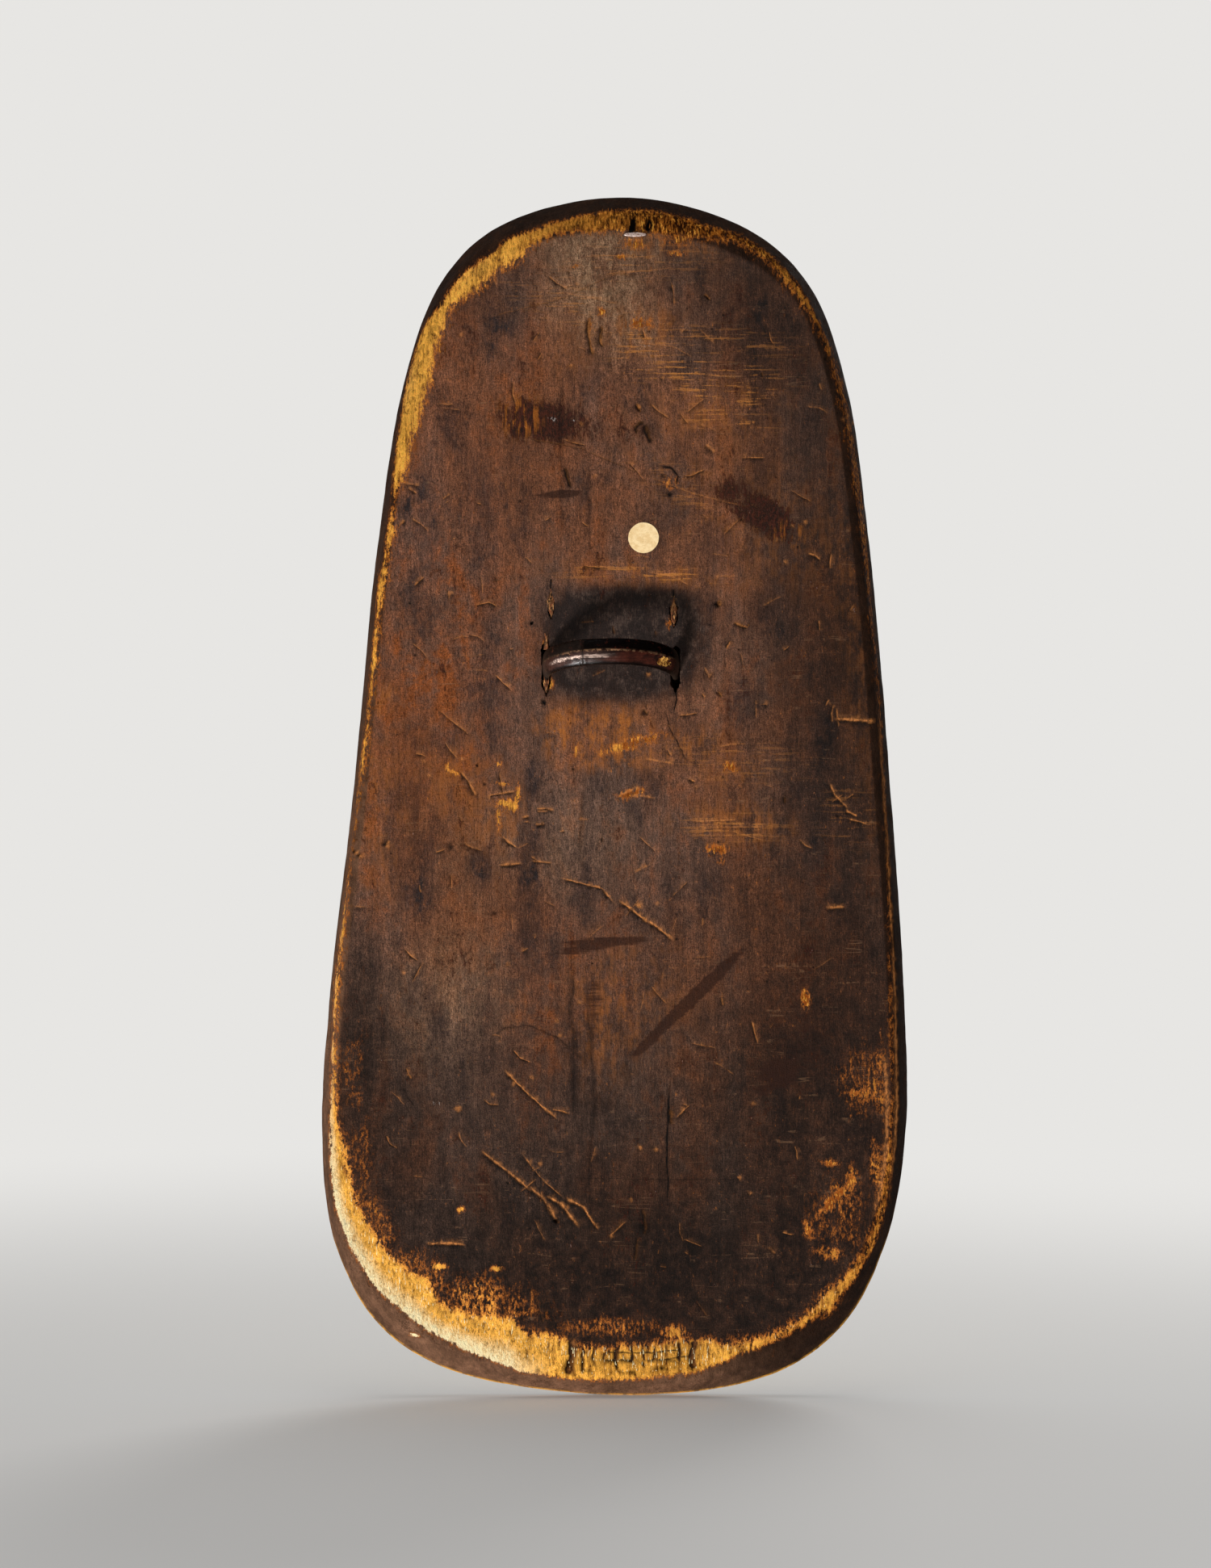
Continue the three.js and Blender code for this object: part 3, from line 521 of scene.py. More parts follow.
# Broad changes in the stain, by the name of the field that the wood material reads
STAINS = stains(
    sooty=[
        (770, 790, 96, 66, 0, 1.0, 0.3, 3.5), (762, 850, 86, 26, 3, 0.7, 0.7, 2.4),
        (872, 770, 40, 50, 0, 0.4, 0.8), (660, 800, 30, 60, 0, 0.3, 0.9),
    ],
    rubbed=[
        (735, 905, 66, 40, 0, 1.0, 0.5), (800, 928, 86, 22, 8, 0.7, 0.7), (772, 927, 62, 11, 14, 0.95, 0.6),
        (795, 712, 95, 14, -4, 0.7, 0.8), (905, 1020, 62, 24, -5, 0.6, 0.8), (905, 950, 40, 24, 0, 0.4, 0.9),
        (560, 960, 34, 60, 5, 0.5, 0.9), (620, 1010, 30, 50, 0, 0.5, 0.9), (478, 870, 14, 20, 0, 0.9, 0.6),
        (890, 510, 60, 34, 0, 0.5, 0.9), (800, 405, 40, 26, 0, 0.6, 0.9), (830, 300, 50, 16, 0, 0.6, 0.9),
        (700, 440, 34, 30, 0, 0.35, 0.9), (470, 1010, 34, 90, 0, 0.45, 0.9),
        (920, 640, 120, 60, -30, 0.35, 0.9), (745, 1260, 36, 70, 0, 0.45, 0.9),
        (1080, 470, 50, 120, 12, 0.3, 0.9), (1075, 800, 30, 220, 3, 0.25, 0.9),
        (790, 1230, 60, 60, 0, 0.3, 0.9),
    ],
    bleached=[
        (745, 345, 60, 78, 0, 0.9, 0.8), (770, 300, 90, 24, 0, 0.7, 0.9), (800, 420, 40, 40, 0, 0.4, 0.9),
        (557, 1240, 70, 80, 0, 0.45, 0.9), (640, 1050, 120, 60, 0, 0.3, 0.9),
    ],
    residue=[
        (664, 522, 40, 24, -4, 0.8, 0.45, 3.0), (702, 524, 30, 18, -8, 0.55, 0.7, 3.0),
        (742, 534, 36, 14, -12, 0.3, 0.9, 3.0), (930, 626, 44, 22, -36, 0.72, 0.5, 3.0),
        (956, 646, 34, 20, -36, 0.7, 0.5, 4.0), (866, 600, 40, 14, -24, 0.35, 0.9, 3.0),
        (800, 532, 11, 11, 0, 0.4, 0.7),
    ],
    chalk=[
        (686, 519, 6, 3, -10, 0.7, 0.9), (711, 520, 5, 2.5, 0, 0.6, 0.9), (796, 428, 14, 1.5, 0, 0.5, 0.9),
        (544, 1367, 7, 3, 0, 0.5, 0.9),
    ],
    residue_fibre=[
        (645, 515, 22, 22, -6, 0.9, 0.7, 3.0), (975, 662, 16, 16, 0, 0.6, 0.9),
    ],
    # The darker lower half of the stain, and painted shade down the right side and round the top, where the
    # key lamp's light falls off
    charred=[
        (760, 1660, 440, 200, 0, 0.92, 0.6), (800, 1500, 440, 170, 0, 0.62, 0.9),
        (760, 1360, 340, 120, 0, 0.36, 0.9), (640, 1240, 260, 150, 0, 0.22, 0.9),
        (960, 1150, 150, 150, 0, 0.34, 0.9), (700, 1060, 220, 120, 0, 0.16, 0.9),
        (460, 1440, 70, 210, -8, 0.6, 0.6), (440, 1280, 30, 130, 0, 0.7, 0.7),
        (1060, 1400, 150, 260, 4, 0.74, 0.7), (960, 1320, 70, 60, 0, 0.45, 0.8),
        (1090, 980, 110, 360, 0, 0.75, 0.9), (1060, 620, 110, 300, 10, 0.7, 0.8),
        (960, 380, 110, 110, 40, 0.62, 0.8), (850, 300, 90, 60, 0, 0.4, 0.8),
        (620, 340, 90, 50, 30, 0.35, 0.9), (990, 880, 80, 200, 0, 0.4, 0.9),
    ],
    brushed=[
        (868, 464, 78, 18, -7, 0.9, 0.9), (896, 492, 50, 12, -5, 0.9, 0.9), (900, 522, 42, 12, -6, 0.8, 0.9),
        (880, 420, 80, 14, -6, 0.45, 0.9), (795, 425, 26, 28, -5, 0.8, 0.9),
        (905, 1024, 52, 15, -2, 0.62, 0.9), (700, 376, 70, 24, -20, 0.4, 0.9),
        (790, 322, 70, 20, 3, 0.4, 0.9), (800, 712, 84, 10, -3, 0.9, 0.9), (860, 608, 70, 20, -25, 0.35, 0.9),
        (900, 940, 80, 26, -3, 0.3, 0.9), (1050, 1010, 30, 30, 0, 0.3, 0.9),
    ],
    ruddy=[
        (520, 920, 110, 220, 0, 0.8, 0.9), (594, 940, 10, 60, 0, 0.6, 0.8), (575, 1010, 14, 60, 0, 0.6, 0.8),
        (600, 560, 140, 160, 0, 0.4, 0.9), (660, 1240, 60, 120, 0, 0.5, 0.9),
        (760, 1200, 120, 90, 0, 0.45, 0.9), (1000, 1100, 120, 200, 0, 0.45, 0.9),
        (820, 640, 120, 90, 0, 0.35, 0.9), (1000, 1290, 60, 60, 0, 0.55, 0.9),
        (1030, 700, 70, 200, 0, 0.45, 0.9),
    ],
    slate=[
        (596, 1072, 16, 22, 0, 0.85, 0.6), (552, 918, 22, 16, 20, 0.75, 0.7),
        (512, 1110, 16, 22, 0, 0.7, 0.7), (656, 968, 8, 24, 0, 0.8, 0.6), (660, 1060, 16, 44, 0, 0.5, 0.8),
        (607, 806, 12, 46, 0, 0.4, 0.8), (600, 640, 18, 90, 4, 0.45, 0.8), (520, 650, 30, 60, 0, 0.4, 0.8),
        (600, 400, 60, 40, -40, 0.35, 0.8), (740, 460, 26, 40, 0, 0.4, 0.8), (884, 672, 24, 26, 0, 0.7, 0.7),
        (988, 700, 16, 60, 0, 0.55, 0.8), (918, 870, 16, 34, 0, 0.6, 0.7), (968, 770, 14, 40, 0, 0.4, 0.8),
        (1022, 910, 16, 40, 0, 0.6, 0.7), (1010, 1040, 14, 46, 0, 0.6, 0.7), (940, 400, 60, 40, 0, 0.45, 0.8),
        (1005, 470, 30, 60, 12, 0.35, 0.8), (930, 480, 30, 50, 0, 0.3, 0.8),
        (1055, 760, 12, 120, 4, 0.4, 0.8), (800, 1530, 16, 36, 0, 0.5, 0.8), (620, 1610, 80, 30, 0, 0.3, 0.9),
    ],
    smear=[
        (694, 612, 30, 5, 3, 0.7, 0.5), (752, 1166, 62, 6, 3, 0.6, 0.6), (722, 1176, 36, 5, 8, 0.5, 0.6),
        (862, 1232, 84, 8, 44, 0.75, 0.5), (800, 1294, 22, 6, 40, 0.6, 0.6), (962, 1330, 26, 18, 0, 0.6, 0.6),
        (945, 1352, 12, 8, 0, 0.5, 0.6), (1000, 1290, 40, 50, 0, 0.35, 0.8), (735, 1240, 12, 34, 0, 0.4, 0.8),
    ],
)


def smooth_ring(points, count):
    """A closed ring through the given points, resampled evenly along its stations."""
    total = len(points)
    steps = np.arange(count) * total / count
    first = np.floor(steps).astype(int)
    share = (steps - first)[:, None]
    a, b, c, d = (points[(first + k) % total] for k in (-1, 0, 1, 2))
    curve = 2 * b + (c - a) * share + (2 * a - 5 * b + 4 * c - d) * share ** 2
    return 0.5 * (curve + (3 * b - a - 3 * c + d) * share ** 3)


def packed_rings():
    """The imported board's own rings, from the flat back over the wall to the front's edge."""
    places = np.array([vertex.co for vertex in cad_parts["shield_board"].data.vertices]) / MM
    places = np.unique(places.round(3), axis=0)
    near_slots = np.all(np.abs(places[:, PLANE]) < SLOTS_REACH, axis=1)
    from_leg = np.abs(np.abs(places[:, 0] - STAPLE_X) - STAPLE_HALF)
    near_staple = np.abs(np.hypot(from_leg, places[:, 2] - STAPLE_Z) - STAPLE_HOLE) < SAME_LEVEL
    near_middle = np.linalg.norm(places[:, PLANE] - BOARD_MIDDLE, axis=1) < MIDDLE_REACH
    places = places[~(near_slots | near_staple | near_middle) & (places[:, 1] < RIM_EDGE_Y + SAME_LEVEL / 2)]
    rings = []
    for depth in np.unique(places[:, 1].round(2)):
        ring = places[np.abs(places[:, 1] - depth) < SAME_LEVEL]
        if len(ring) == RING_POINTS:
            turn = np.arctan2(ring[:, 2] - BOARD_MIDDLE[1], ring[:, 0] - BOARD_MIDDLE[0])
            rings.append(ring[np.argsort(turn)])
    if len(rings) != len(ROWS_PER_LEVEL) + 1:
        raise RuntimeError(f"the packed board has {len(rings)} whole rings")
    anchor = rings[ANCHOR_RING][0]
    starts = [np.linalg.norm((ring - anchor)[:, PLANE], axis=1).argmin() for ring in rings]
    return [np.roll(ring, -start, axis=0) for ring, start in zip(rings, starts)]


def wall_rows(stations):
    """Rows of points from the flat back's edge, down the side wall, to the front's edge."""
    rings = [smooth_ring(ring, stations) for ring in packed_rings()]
    rows = [rings[0]]
    for low, high, count in zip(rings, rings[1:], ROWS_PER_LEVEL):
        rows += [low + (high - low) * step / count for step in range(1, count + 1)]
    return np.array(rows)


def reach_share(loop, places):
    """How far out each place lies: 1 on the loop, less inside it."""
    offset, away = loop - BOARD_MIDDLE, places - BOARD_MIDDLE
    turn = np.arctan2(offset[:, 1], offset[:, 0])
    order = np.argsort(turn)
    reach = np.linalg.norm(offset, axis=1)[order]
    limit = np.interp(np.arctan2(away[:, 1], away[:, 0]), turn[order], reach, period=2 * np.pi)
    return np.linalg.norm(away, axis=1) / limit


def nearest(points, places):
    """The nearest of some points for each place, and how far it is."""
    tree = kdtree.KDTree(len(points))
    for index, point in enumerate(points):
        tree.insert((*point, 0), index)
    tree.balance()
    found = [tree.find((*place, 0)) for place in places]
    return np.array([hit[1] for hit in found]), np.array([hit[2] for hit in found])


def thin_out(places, fixed, gap):
    """The places without those that crowd a set of fixed ones."""
    return places[nearest(fixed, places)[1] > gap]


def well_inside(loop, places, kind):
    """The places inside a loop that keep their kind's gap to it."""
    return places[(reach_share(loop, places) < 1) & (nearest(loop, places)[1] > EDGE_GAPS[kind])]


def hex_grid(loop, spacing):
    """Staggered places all over a loop's extent."""
    low, high = loop.min(axis=0), loop.max(axis=0)
    rows = []
    for k, z in enumerate(np.arange(low[1], high[1], spacing * math.sqrt(3) / 2)):
        x = np.arange(low[0] + (k % 2) * spacing / 2, high[0], spacing)
        rows.append(np.column_stack([x, np.full(len(x), z)]))
    return np.concatenate(rows)


def inside(loops, places):
    """Even-odd test of places against closed loops."""
    odd = np.zeros(len(places), dtype=bool)
    x, z = places[:, 0][:, None], places[:, 1][:, None]
    for start in loops:
        end = np.roll(start, -1, axis=0)
        crosses = (start[:, 1] > z) != (end[:, 1] > z)
        rise = np.where(end[:, 1] == start[:, 1], 1e-9, end[:, 1] - start[:, 1])
        level = start[:, 0] + (z - start[:, 1]) * (end[:, 0] - start[:, 0]) / rise
        odd ^= (crosses & (x < level)).sum(axis=1) % 2 == 1
    return odd


def fill_flat(loops, inner):
    """Triangles over an outline with holes; indices run through the loops, then the inner points."""
    points = np.concatenate(loops + [inner])
    edges, start = [], 0
    for loop in loops:
        edges += [(start + i, start + (i + 1) % len(loop)) for i in range(len(loop))]
        start += len(loop)
    flat = [Vector(point) for point in points]
    _, _, faces, sources, _, _ = geometry.delaunay_2d_cdt(flat, edges, [], 0, 1e-5, True)
    triangles = np.array([source[0] for source in sources])[np.array(faces)]
    on_loops = np.all(triangles < start, axis=1)
    keep = ~on_loops
    keep[on_loops] = inside(loops, points[triangles[on_loops]].mean(axis=1))
    return triangles[keep]


def ring_quads(start, count, rings):
    """Quads between closed rings of equal counts whose points follow each other."""
    here, turn = start + np.arange(rings - 1)[:, None] * count, np.arange(count)
    after = here + (turn + 1) % count
    here = here + turn
    return np.stack([here, after, after + count, here + count], axis=2).reshape(-1, 4)


def slot_rings(x, z, width, tips, shoulders, kick):
    """Rings of a pointed opening chiselled along the grain, from its torn mouth to its floor."""
    half = width / 2
    corners = np.array([
        (0, tips[0]), (-half, shoulders[0]), (-half, -shoulders[1]),
        (0, -tips[1]), (half, -shoulders[1]), (half, shoulders[0]),
    ])
    plan = []
    for start, end in zip(corners, np.roll(corners, -1, axis=0)):
        count = max(1, int(np.linalg.norm(end - start) / MOUTH_STEP))
        plan += [start + (end - start) * k / count for k in range(count)]
    plan = np.array(plan)
    ragged = field_noise(plan[:, 0] * 0.9 + x, plan[:, 1] * 0.8 + z, 17)
    ragged = MOUTH_TORN * np.clip(0.6 + 1.8 * ragged, 0, 2)
    away = plan / (np.linalg.norm(plan, axis=1)[:, None] + 1e-9)
    outward = np.sign(plan[:, [0]]) * np.array([[1, 0]]) + away * 0.3
    rings = []
    for depth, spread in SLOT_LEVELS:
        spot = plan + outward * (ragged * spread)[:, None]
        level = np.full(len(plan), BACK_Y + depth)
        rings.append(np.column_stack([x + kick * depth / SLOT_DEPTH + spot[:, 0], level, z + spot[:, 1]]))
    return rings


def staple_hole(x):
    """A round staple hole's rings, at its mouth and its floor."""
    turns = np.arange(STAPLE_HOLE_SIDES) * 2 * np.pi / STAPLE_HOLE_SIDES
    across, up = x + STAPLE_HOLE * np.cos(turns), STAPLE_Z + STAPLE_HOLE * np.sin(turns)
    return [np.column_stack([across, turns * 0 + BACK_Y + depth, up]) for depth in (0, STAPLE_HOLE_DEPTH)]


def board_holes():
    """The two strap slots, the two older slots above them and the staple's holes, as rings."""
    staple_holes = [staple_hole(STAPLE_X + side * STAPLE_HALF) for side in (-1, 1)]
    return [slot_rings(*slot) for slot in SLOTS] + staple_holes


class Arris:
    """How far the wear reaches in from and out over the arris, all the way round."""

    def __init__(self, loop):
        rows = []
        for inner_px, inner_py, outer_px, outer_py, strength, pale in WORN_ARRIS:
            ends = np.array([at_photo(inner_px, inner_py), at_photo(outer_px, outer_py)])
            away = nearest(loop, ends)[1] * np.where(reach_share(loop, ends) < 1, 1, -1)
            middle = nearest(loop, ends.mean(axis=0)[None])[0][0]
            rows.append((middle, *away, strength, pale))
        self.total = len(loop)
        self.at, self.inner, self.outer, self.strength, self.pale = np.array(sorted(rows)).T

    def over(self, values, stations):
        return np.interp(stations, self.at, values, period=self.total)

    def wear(self, stations, inward):
        """How worn each place is, and how far it lies across the band, 0 inside to 1 outside."""
        inner, outer = self.over(self.inner, stations), self.over(self.outer, stations)
        soft_in, soft_out = WORN_SOFTNESS
        band = np.minimum((inner - inward) / soft_in, (inward - outer) / soft_out)
        across = (inner - inward) / np.maximum(inner - outer, 1)
        missing = 0.9 * (1 - self.over(self.strength, stations))
        return np.clip(band, LEAST_WORN, 1) - missing, np.clip(across, -1, 2)


def stain_fields(places, stations, inward, arris):
    """Every named field of the back and the wall, for places in the plane of the back."""
    fields = {name: 1 - np.prod([1 - patch.cover(places) for patch in spots], axis=0)
              for name, spots in STAINS.items()}
    score, gap, sink = (np.zeros(len(places)) for _ in range(3))
    worn, fields["across"] = arris.wear(stations, inward)
    for patch in WORN_PATCHES.values():
        bare = np.clip(patch.share(places) * 1.2, LEAST_WORN, 0.7)
        worn = np.maximum(worn, bare - 0.8 * (1 - patch.strength))
    fields["worn"] = np.clip(worn, LEAST_WORN, 1)
    # Painted light in the raw wood's paleness: painted shade at the top and right, painted highlight at the
    # lower left, and deeper away from the arris
    fields["paler"] = arris.over(arris.pale, stations) - 0.45 * smooth_step(10, 30, inward)
    for mark in MARKS:
        near, share, away, width, strength = mark.reach(places)
        taper = smooth_step(0, 0.16, share) * smooth_step(1, 0.84, share)
        # A mark's profile: the cut, the far wall painted pale as the key lamp's highlight, the lamp-side wall
        # in painted shade, and the raised lip
        cut, lit, shaded, lip = (
            np.exp(-((away + shift * width) / (spread * width)) ** 2) * taper
            for shift, spread in ((0, 1), (0.5, 0.75), (-0.85, 0.8), (1.7, 0.7))
        )
        sink[near] += mark.depth * (cut - 1.6 * mark.burr * lip)
        score[near] = np.maximum(score[near], np.minimum(1.25 * mark.pale * (lit * strength), 1))
        # Painted shade: the lamp-side wall of a deep enough mark is darkened
        groove_shade = min(1.0, 1.5 * mark.pale) * (shaded * strength) * (mark.depth > 0.22)
        gap[near] = np.maximum(gap[near], np.maximum(mark.dark * cut, groove_shade))
    for pixel, radius, depth, dark in DENTS.values():
        offset = places - at_photo(*pixel)
        turn = np.arctan2(offset[:, 1], offset[:, 0])
        ragged = 1 + 0.45 * field_noise(turn * 1.3 + pixel[0], turn * 0 + pixel[1], 7)
        away = np.linalg.norm(offset, axis=1) / radius / ragged
        cut = 1 - smooth_step(0.25, 1.1, away)
        sink += depth * (cut - 0.2 * np.exp(-((away - 1.3) / 0.3) ** 2))
        # Painted shade: a dent's lamp-side wall is darker
        shade = 1 + 0.6 * np.clip(offset @ LIT_FROM / radius, -1, 1)
        gap, score = np.maximum(gap, dark * cut * shade), np.maximum(score, -dark * cut)
    return {**fields, "score": score, "gap": gap, "sink": sink}


def wood_relief(places, fields, relief):
    """How deep the surface lies below the true plane: hand tools, fibres and wear."""
    x, z = places.T
    hand = 0.22 * piled_noise(x / 46, z / 90, 31) + 0.06 * piled_noise(x / 7, z / 55, 37)
    raw = smooth_step(-0.15, 0.45, fields["worn"])
    torn = 0.55 + 0.45 * piled_noise(x / 4.2, z / 13, 41) + 0.25 * field_noise(x / 2.1, z / 9, 43)
    residue = smooth_step(0.4, 0.7, fields["residue"]) * (0.12 + 0.1 * field_noise(x / 1.8, z / 1.8, 47))
    return fields["sink"] + hand + relief * raw * torn - residue


def linked(name, mesh):
    """A new object of a mesh, in the scene and at the origin."""
    piece = bpy.data.objects.new(name, mesh)
    bpy.context.scene.collection.objects.link(piece)
    return piece


def mesh_object(name, places, faces, *material_names):
    """A smooth mesh object from places in millimetres, and the places that it uses."""
    used = np.unique(np.concatenate([np.unique(part) for part in faces]))
    fresh = np.full(len(places), -1)
    fresh[used] = np.arange(len(used))
    mesh = bpy.data.meshes.new(name)
    rows = [row for part in faces for row in fresh[part].tolist()]
    mesh.from_pydata((places[used] * MM).tolist(), [], rows)
    mesh.polygons.foreach_set("use_smooth", [True] * len(mesh.polygons))
    for material_name in material_names:
        mesh.materials.append(bpy.data.materials[material_name])
    return linked(name, mesh), used


def write_fields(piece, fields, used):
    """Each named field as an attribute that the piece's material reads."""
    for name, values in fields.items():
        layer = piece.data.attributes.new(name, "FLOAT", "POINT")
        layer.data.foreach_set("value", np.asarray(values[used], dtype=np.float32))


def back_places(settings, loop, arris, mouths):
    """The back's inner places: along every mark, close together where it is worn, and wide elsewhere."""
    spacing = settings.spacing / MM
    fine = well_inside(loop, hex_grid(loop, spacing * FINE_SHARE), "fine")
    worn = arris.wear(*nearest(loop, fine))[0]
    for patch in (*WORN_PATCHES.values(), *STAINS["residue"]):
        worn = np.maximum(worn, patch.share(fine))
    fine = fine[worn > FINE_FROM_WEAR]
    marks = [mark.mesh_points() for mark in MARKS]
    turns = np.arange(DENT_SIDES) * 2 * np.pi / DENT_SIDES
    for pixel, radius, _, _ in DENTS.values():
        for share in DENT_RINGS:
            ring = np.column_stack([np.cos(turns + share), np.sin(turns + share)]) * radius * share
            marks.append(at_photo(*pixel) + ring)
    marks = well_inside(loop, np.concatenate(marks), "marks")
    coarse = well_inside(loop, hex_grid(loop, spacing), "coarse")
    coarse = thin_out(coarse, np.concatenate([fine, marks]), spacing * 0.5)
    inner = np.concatenate([marks, thin_out(fine, marks, MARK_GAP), coarse])
    inner = thin_out(inner, np.concatenate(mouths), MOUTH_GAP)
    return inner[~inside(mouths, inner)]


def carve_board(settings):
    """The board: a flat scarred back, a leaning wall, and a crowned front."""
    rows = wall_rows(settings.stations)
    row_count, stations = rows.shape[:2]
    back_loop, front_loop = rows[0][:, PLANE], rows[-1][:, PLANE]
    arris = Arris(back_loop)
    holes = board_holes()
    mouths = [hole[0][:, PLANE] for hole in holes]
    inner = back_places(settings, back_loop, arris, mouths)
    grid = well_inside(front_loop, hex_grid(front_loop, settings.front_spacing / MM), "front")
    back, front = fill_flat([back_loop] + mouths, inner), fill_flat([front_loop], grid)

    # All the vertices: wall rows, the holes' rings and floors, the back's inner places, the front's
    wall_end = row_count * stations
    pieces, starts, total = [rows.reshape(-1, 3)], [], wall_end
    for hole in holes:
        starts.append(total)
        pieces += hole + [hole[-1].mean(axis=0)[None]]
        total += len(hole) * len(hole[0]) + 1
    crown = FRONT_SWELL * (1 - reach_share(front_loop, grid) ** 2)
    for flat, level in ((inner, np.full(len(inner), BACK_Y)), (grid, RIM_EDGE_Y + crown)):
        pieces.append(np.column_stack([flat[:, 0], level, flat[:, 1]]))
    places, front_start = np.concatenate(pieces), total + len(inner)

    # From the flat fills' own numbers to the numbers of all the vertices
    rims = [np.arange(start, start + len(hole[0])) for hole, start in zip(holes, starts)]
    order = np.arange(len(places))
    back_home = np.concatenate([order[:stations], *rims, order[total:front_start]])
    front_home = np.concatenate([order[wall_end - stations:wall_end], order[front_start:]])
    wall = ring_quads(0, stations, row_count)[:, [0, 3, 2, 1]]
    faces = [back_home[back], wall, front_home[front][:, ::-1]]
    for hole, start in zip(holes, starts):
        count = len(hole[0])
        floor, turn = start + (len(hole) - 1) * count, np.arange(count)
        fan = np.column_stack([floor + turn, floor + (turn + 1) % count, np.full(count, floor + count)])
        faces += [ring_quads(start, count, len(hole)), fan]
    return places, faces, rows, arris, total, front_start


def dress_board(settings):
    """Works the relief into the carved board and writes the fields that its materials read."""
    places, faces, rows, arris, back_start, front_start = carve_board(settings)
    row_count, stations = rows.shape[:2]
    wall_end = row_count * stations
    flat, front_flat = places[:front_start, PLANE], places[front_start:, PLANE]
    station, away = nearest(rows[0][:, PLANE], flat[wall_end:])
    around = np.tile(np.arange(stations), row_count)
    leaning = np.linalg.norm((rows - rows[0])[:, :, PLANE], axis=2).ravel()
    station, inward = np.concatenate([around, station]), np.concatenate([-leaning, away])
    depth = places[:front_start, 1] - BACK_Y
    fields = stain_fields(flat, station, inward, arris)
    in_slot = np.zeros(front_start)
    in_slot[wall_end:back_start] = smooth_step(*SLOT_FADE, depth[wall_end:back_start])
    sink = wood_relief(flat, fields, settings.relief / MM)
    sink *= (1 - smooth_step(*BACK_FADE, depth)) * (1 - in_slot)

    # The wall is adzed in shallow flats, and its worn stretches are eaten back
    along, down = around * STATION_WAY, depth[:wall_end]
    next_row = np.roll(rows, -1, axis=1) - np.roll(rows, 1, axis=1)
    out = unit(np.stack([next_row[:, :, 2], np.zeros((row_count, stations)), -next_row[:, :, 0]], axis=2))
    eaten = 0.28 * piled_noise(along / 37, down / 16, 53) + 0.12 * piled_noise(along / 9, down / 6, 59)
    worn = smooth_step(0, 0.5, fields["worn"][:wall_end])
    eaten += 0.5 * worn * (0.6 + field_noise(along / 4, down / 3, 61))
    wall_share = smooth_step(*WALL_FADES[0], down) * (1 - smooth_step(*WALL_FADES[1], down))
    places[:wall_end] -= out.reshape(-1, 3) * (np.abs(eaten) * wall_share)[:, None]
    places[:front_start, 1] += sink

    # The front keeps the adze's shallow hollows, and its fields are counted in from the rim
    rim_in = nearest(rows[-1][:, PLANE], front_flat)[1]
    tooled = 0.35 * piled_noise(front_flat[:, 0] / 38, front_flat[:, 1] / 60, 67) - 0.35
    places[front_start:, 1] += tooled * smooth_step(*FRONT_FADE, rim_in)

    piece, used = mesh_object("carved_board", places, faces, "stained_softwood", "painted_front")
    painted = np.zeros(len(piece.data.polygons), dtype=np.int32)
    wall_faces, front_faces = np.cumsum([len(part) for part in faces[:3]])[1:]
    painted[wall_faces - PAINTED_ROWS * stations:front_faces] = 1
    piece.data.polygons.foreach_set("material_index", painted)
    piece.data.set_sharp_from_angle(angle=BOARD_SHARP_FROM)
    x, z = places[:, 0], places[:, 2]
    fields.pop("sink")
    rim_line = np.exp(-((depth - RIM_LINE_DEPTH) / RIM_LINE_WIDTH) ** 2)
    fields["rim_line"] = rim_line * smooth_step(*RIM_LINE_FADE, flat[:, 1])
    fields["in_slot"] = in_slot
    fields = {name: np.pad(values, (0, len(rim_in))) for name, values in fields.items()}
    wall = smooth_step(0.4, -1.2, inward) * (1 - in_slot)
    fields["wall"] = np.concatenate([wall, np.ones(len(rim_in))])
    # Painted shade: the wall darkens towards the top and the right, away from the key lamp
    fields["wall_dark"] = np.maximum(smooth_step(-260, 160, z) * 0.9, smooth_step(20, 130, x) * 0.92)
    fields["rim_in"] = np.pad(rim_in, (front_start, 0))
    write_fields(piece, fields, used)
    return piece


def arithmetic(operation, swapped=False):
    """A method that makes a math node of a wire and another wire or number."""
    def method(wire, other=0.0):
        first, second = (other, wire) if swapped else (wire, other)
        return wire.graph.math(operation, first, second)
    return method


class Wire:
    """A node's output; its sums, products and the like are further nodes."""

    def __init__(self, graph, node, output=0):
        self.graph, self.node, self.output = graph, node, output

    def __getitem__(self, output):
        return Wire(self.graph, self.node, output)

    __add__, __radd__ = arithmetic("ADD"), arithmetic("ADD", swapped=True)
    __sub__, __rsub__ = arithmetic("SUBTRACT"), arithmetic("SUBTRACT", swapped=True)
    __mul__, __truediv__ = arithmetic("MULTIPLY"), arithmetic("DIVIDE")
    __or__, __abs__ = arithmetic("MAXIMUM"), arithmetic("ABSOLUTE")

    def step(self, low, high, to_low=0.0, to_high=1.0):
        """Runs smoothly from one value to another while this one rises over a range."""
        values = {"Value": self, "From Min": low, "From Max": high, "To Min": to_low, "To Max": to_high}
        return self.graph.node("ShaderNodeMapRange", values, interpolation_type="SMOOTHSTEP")


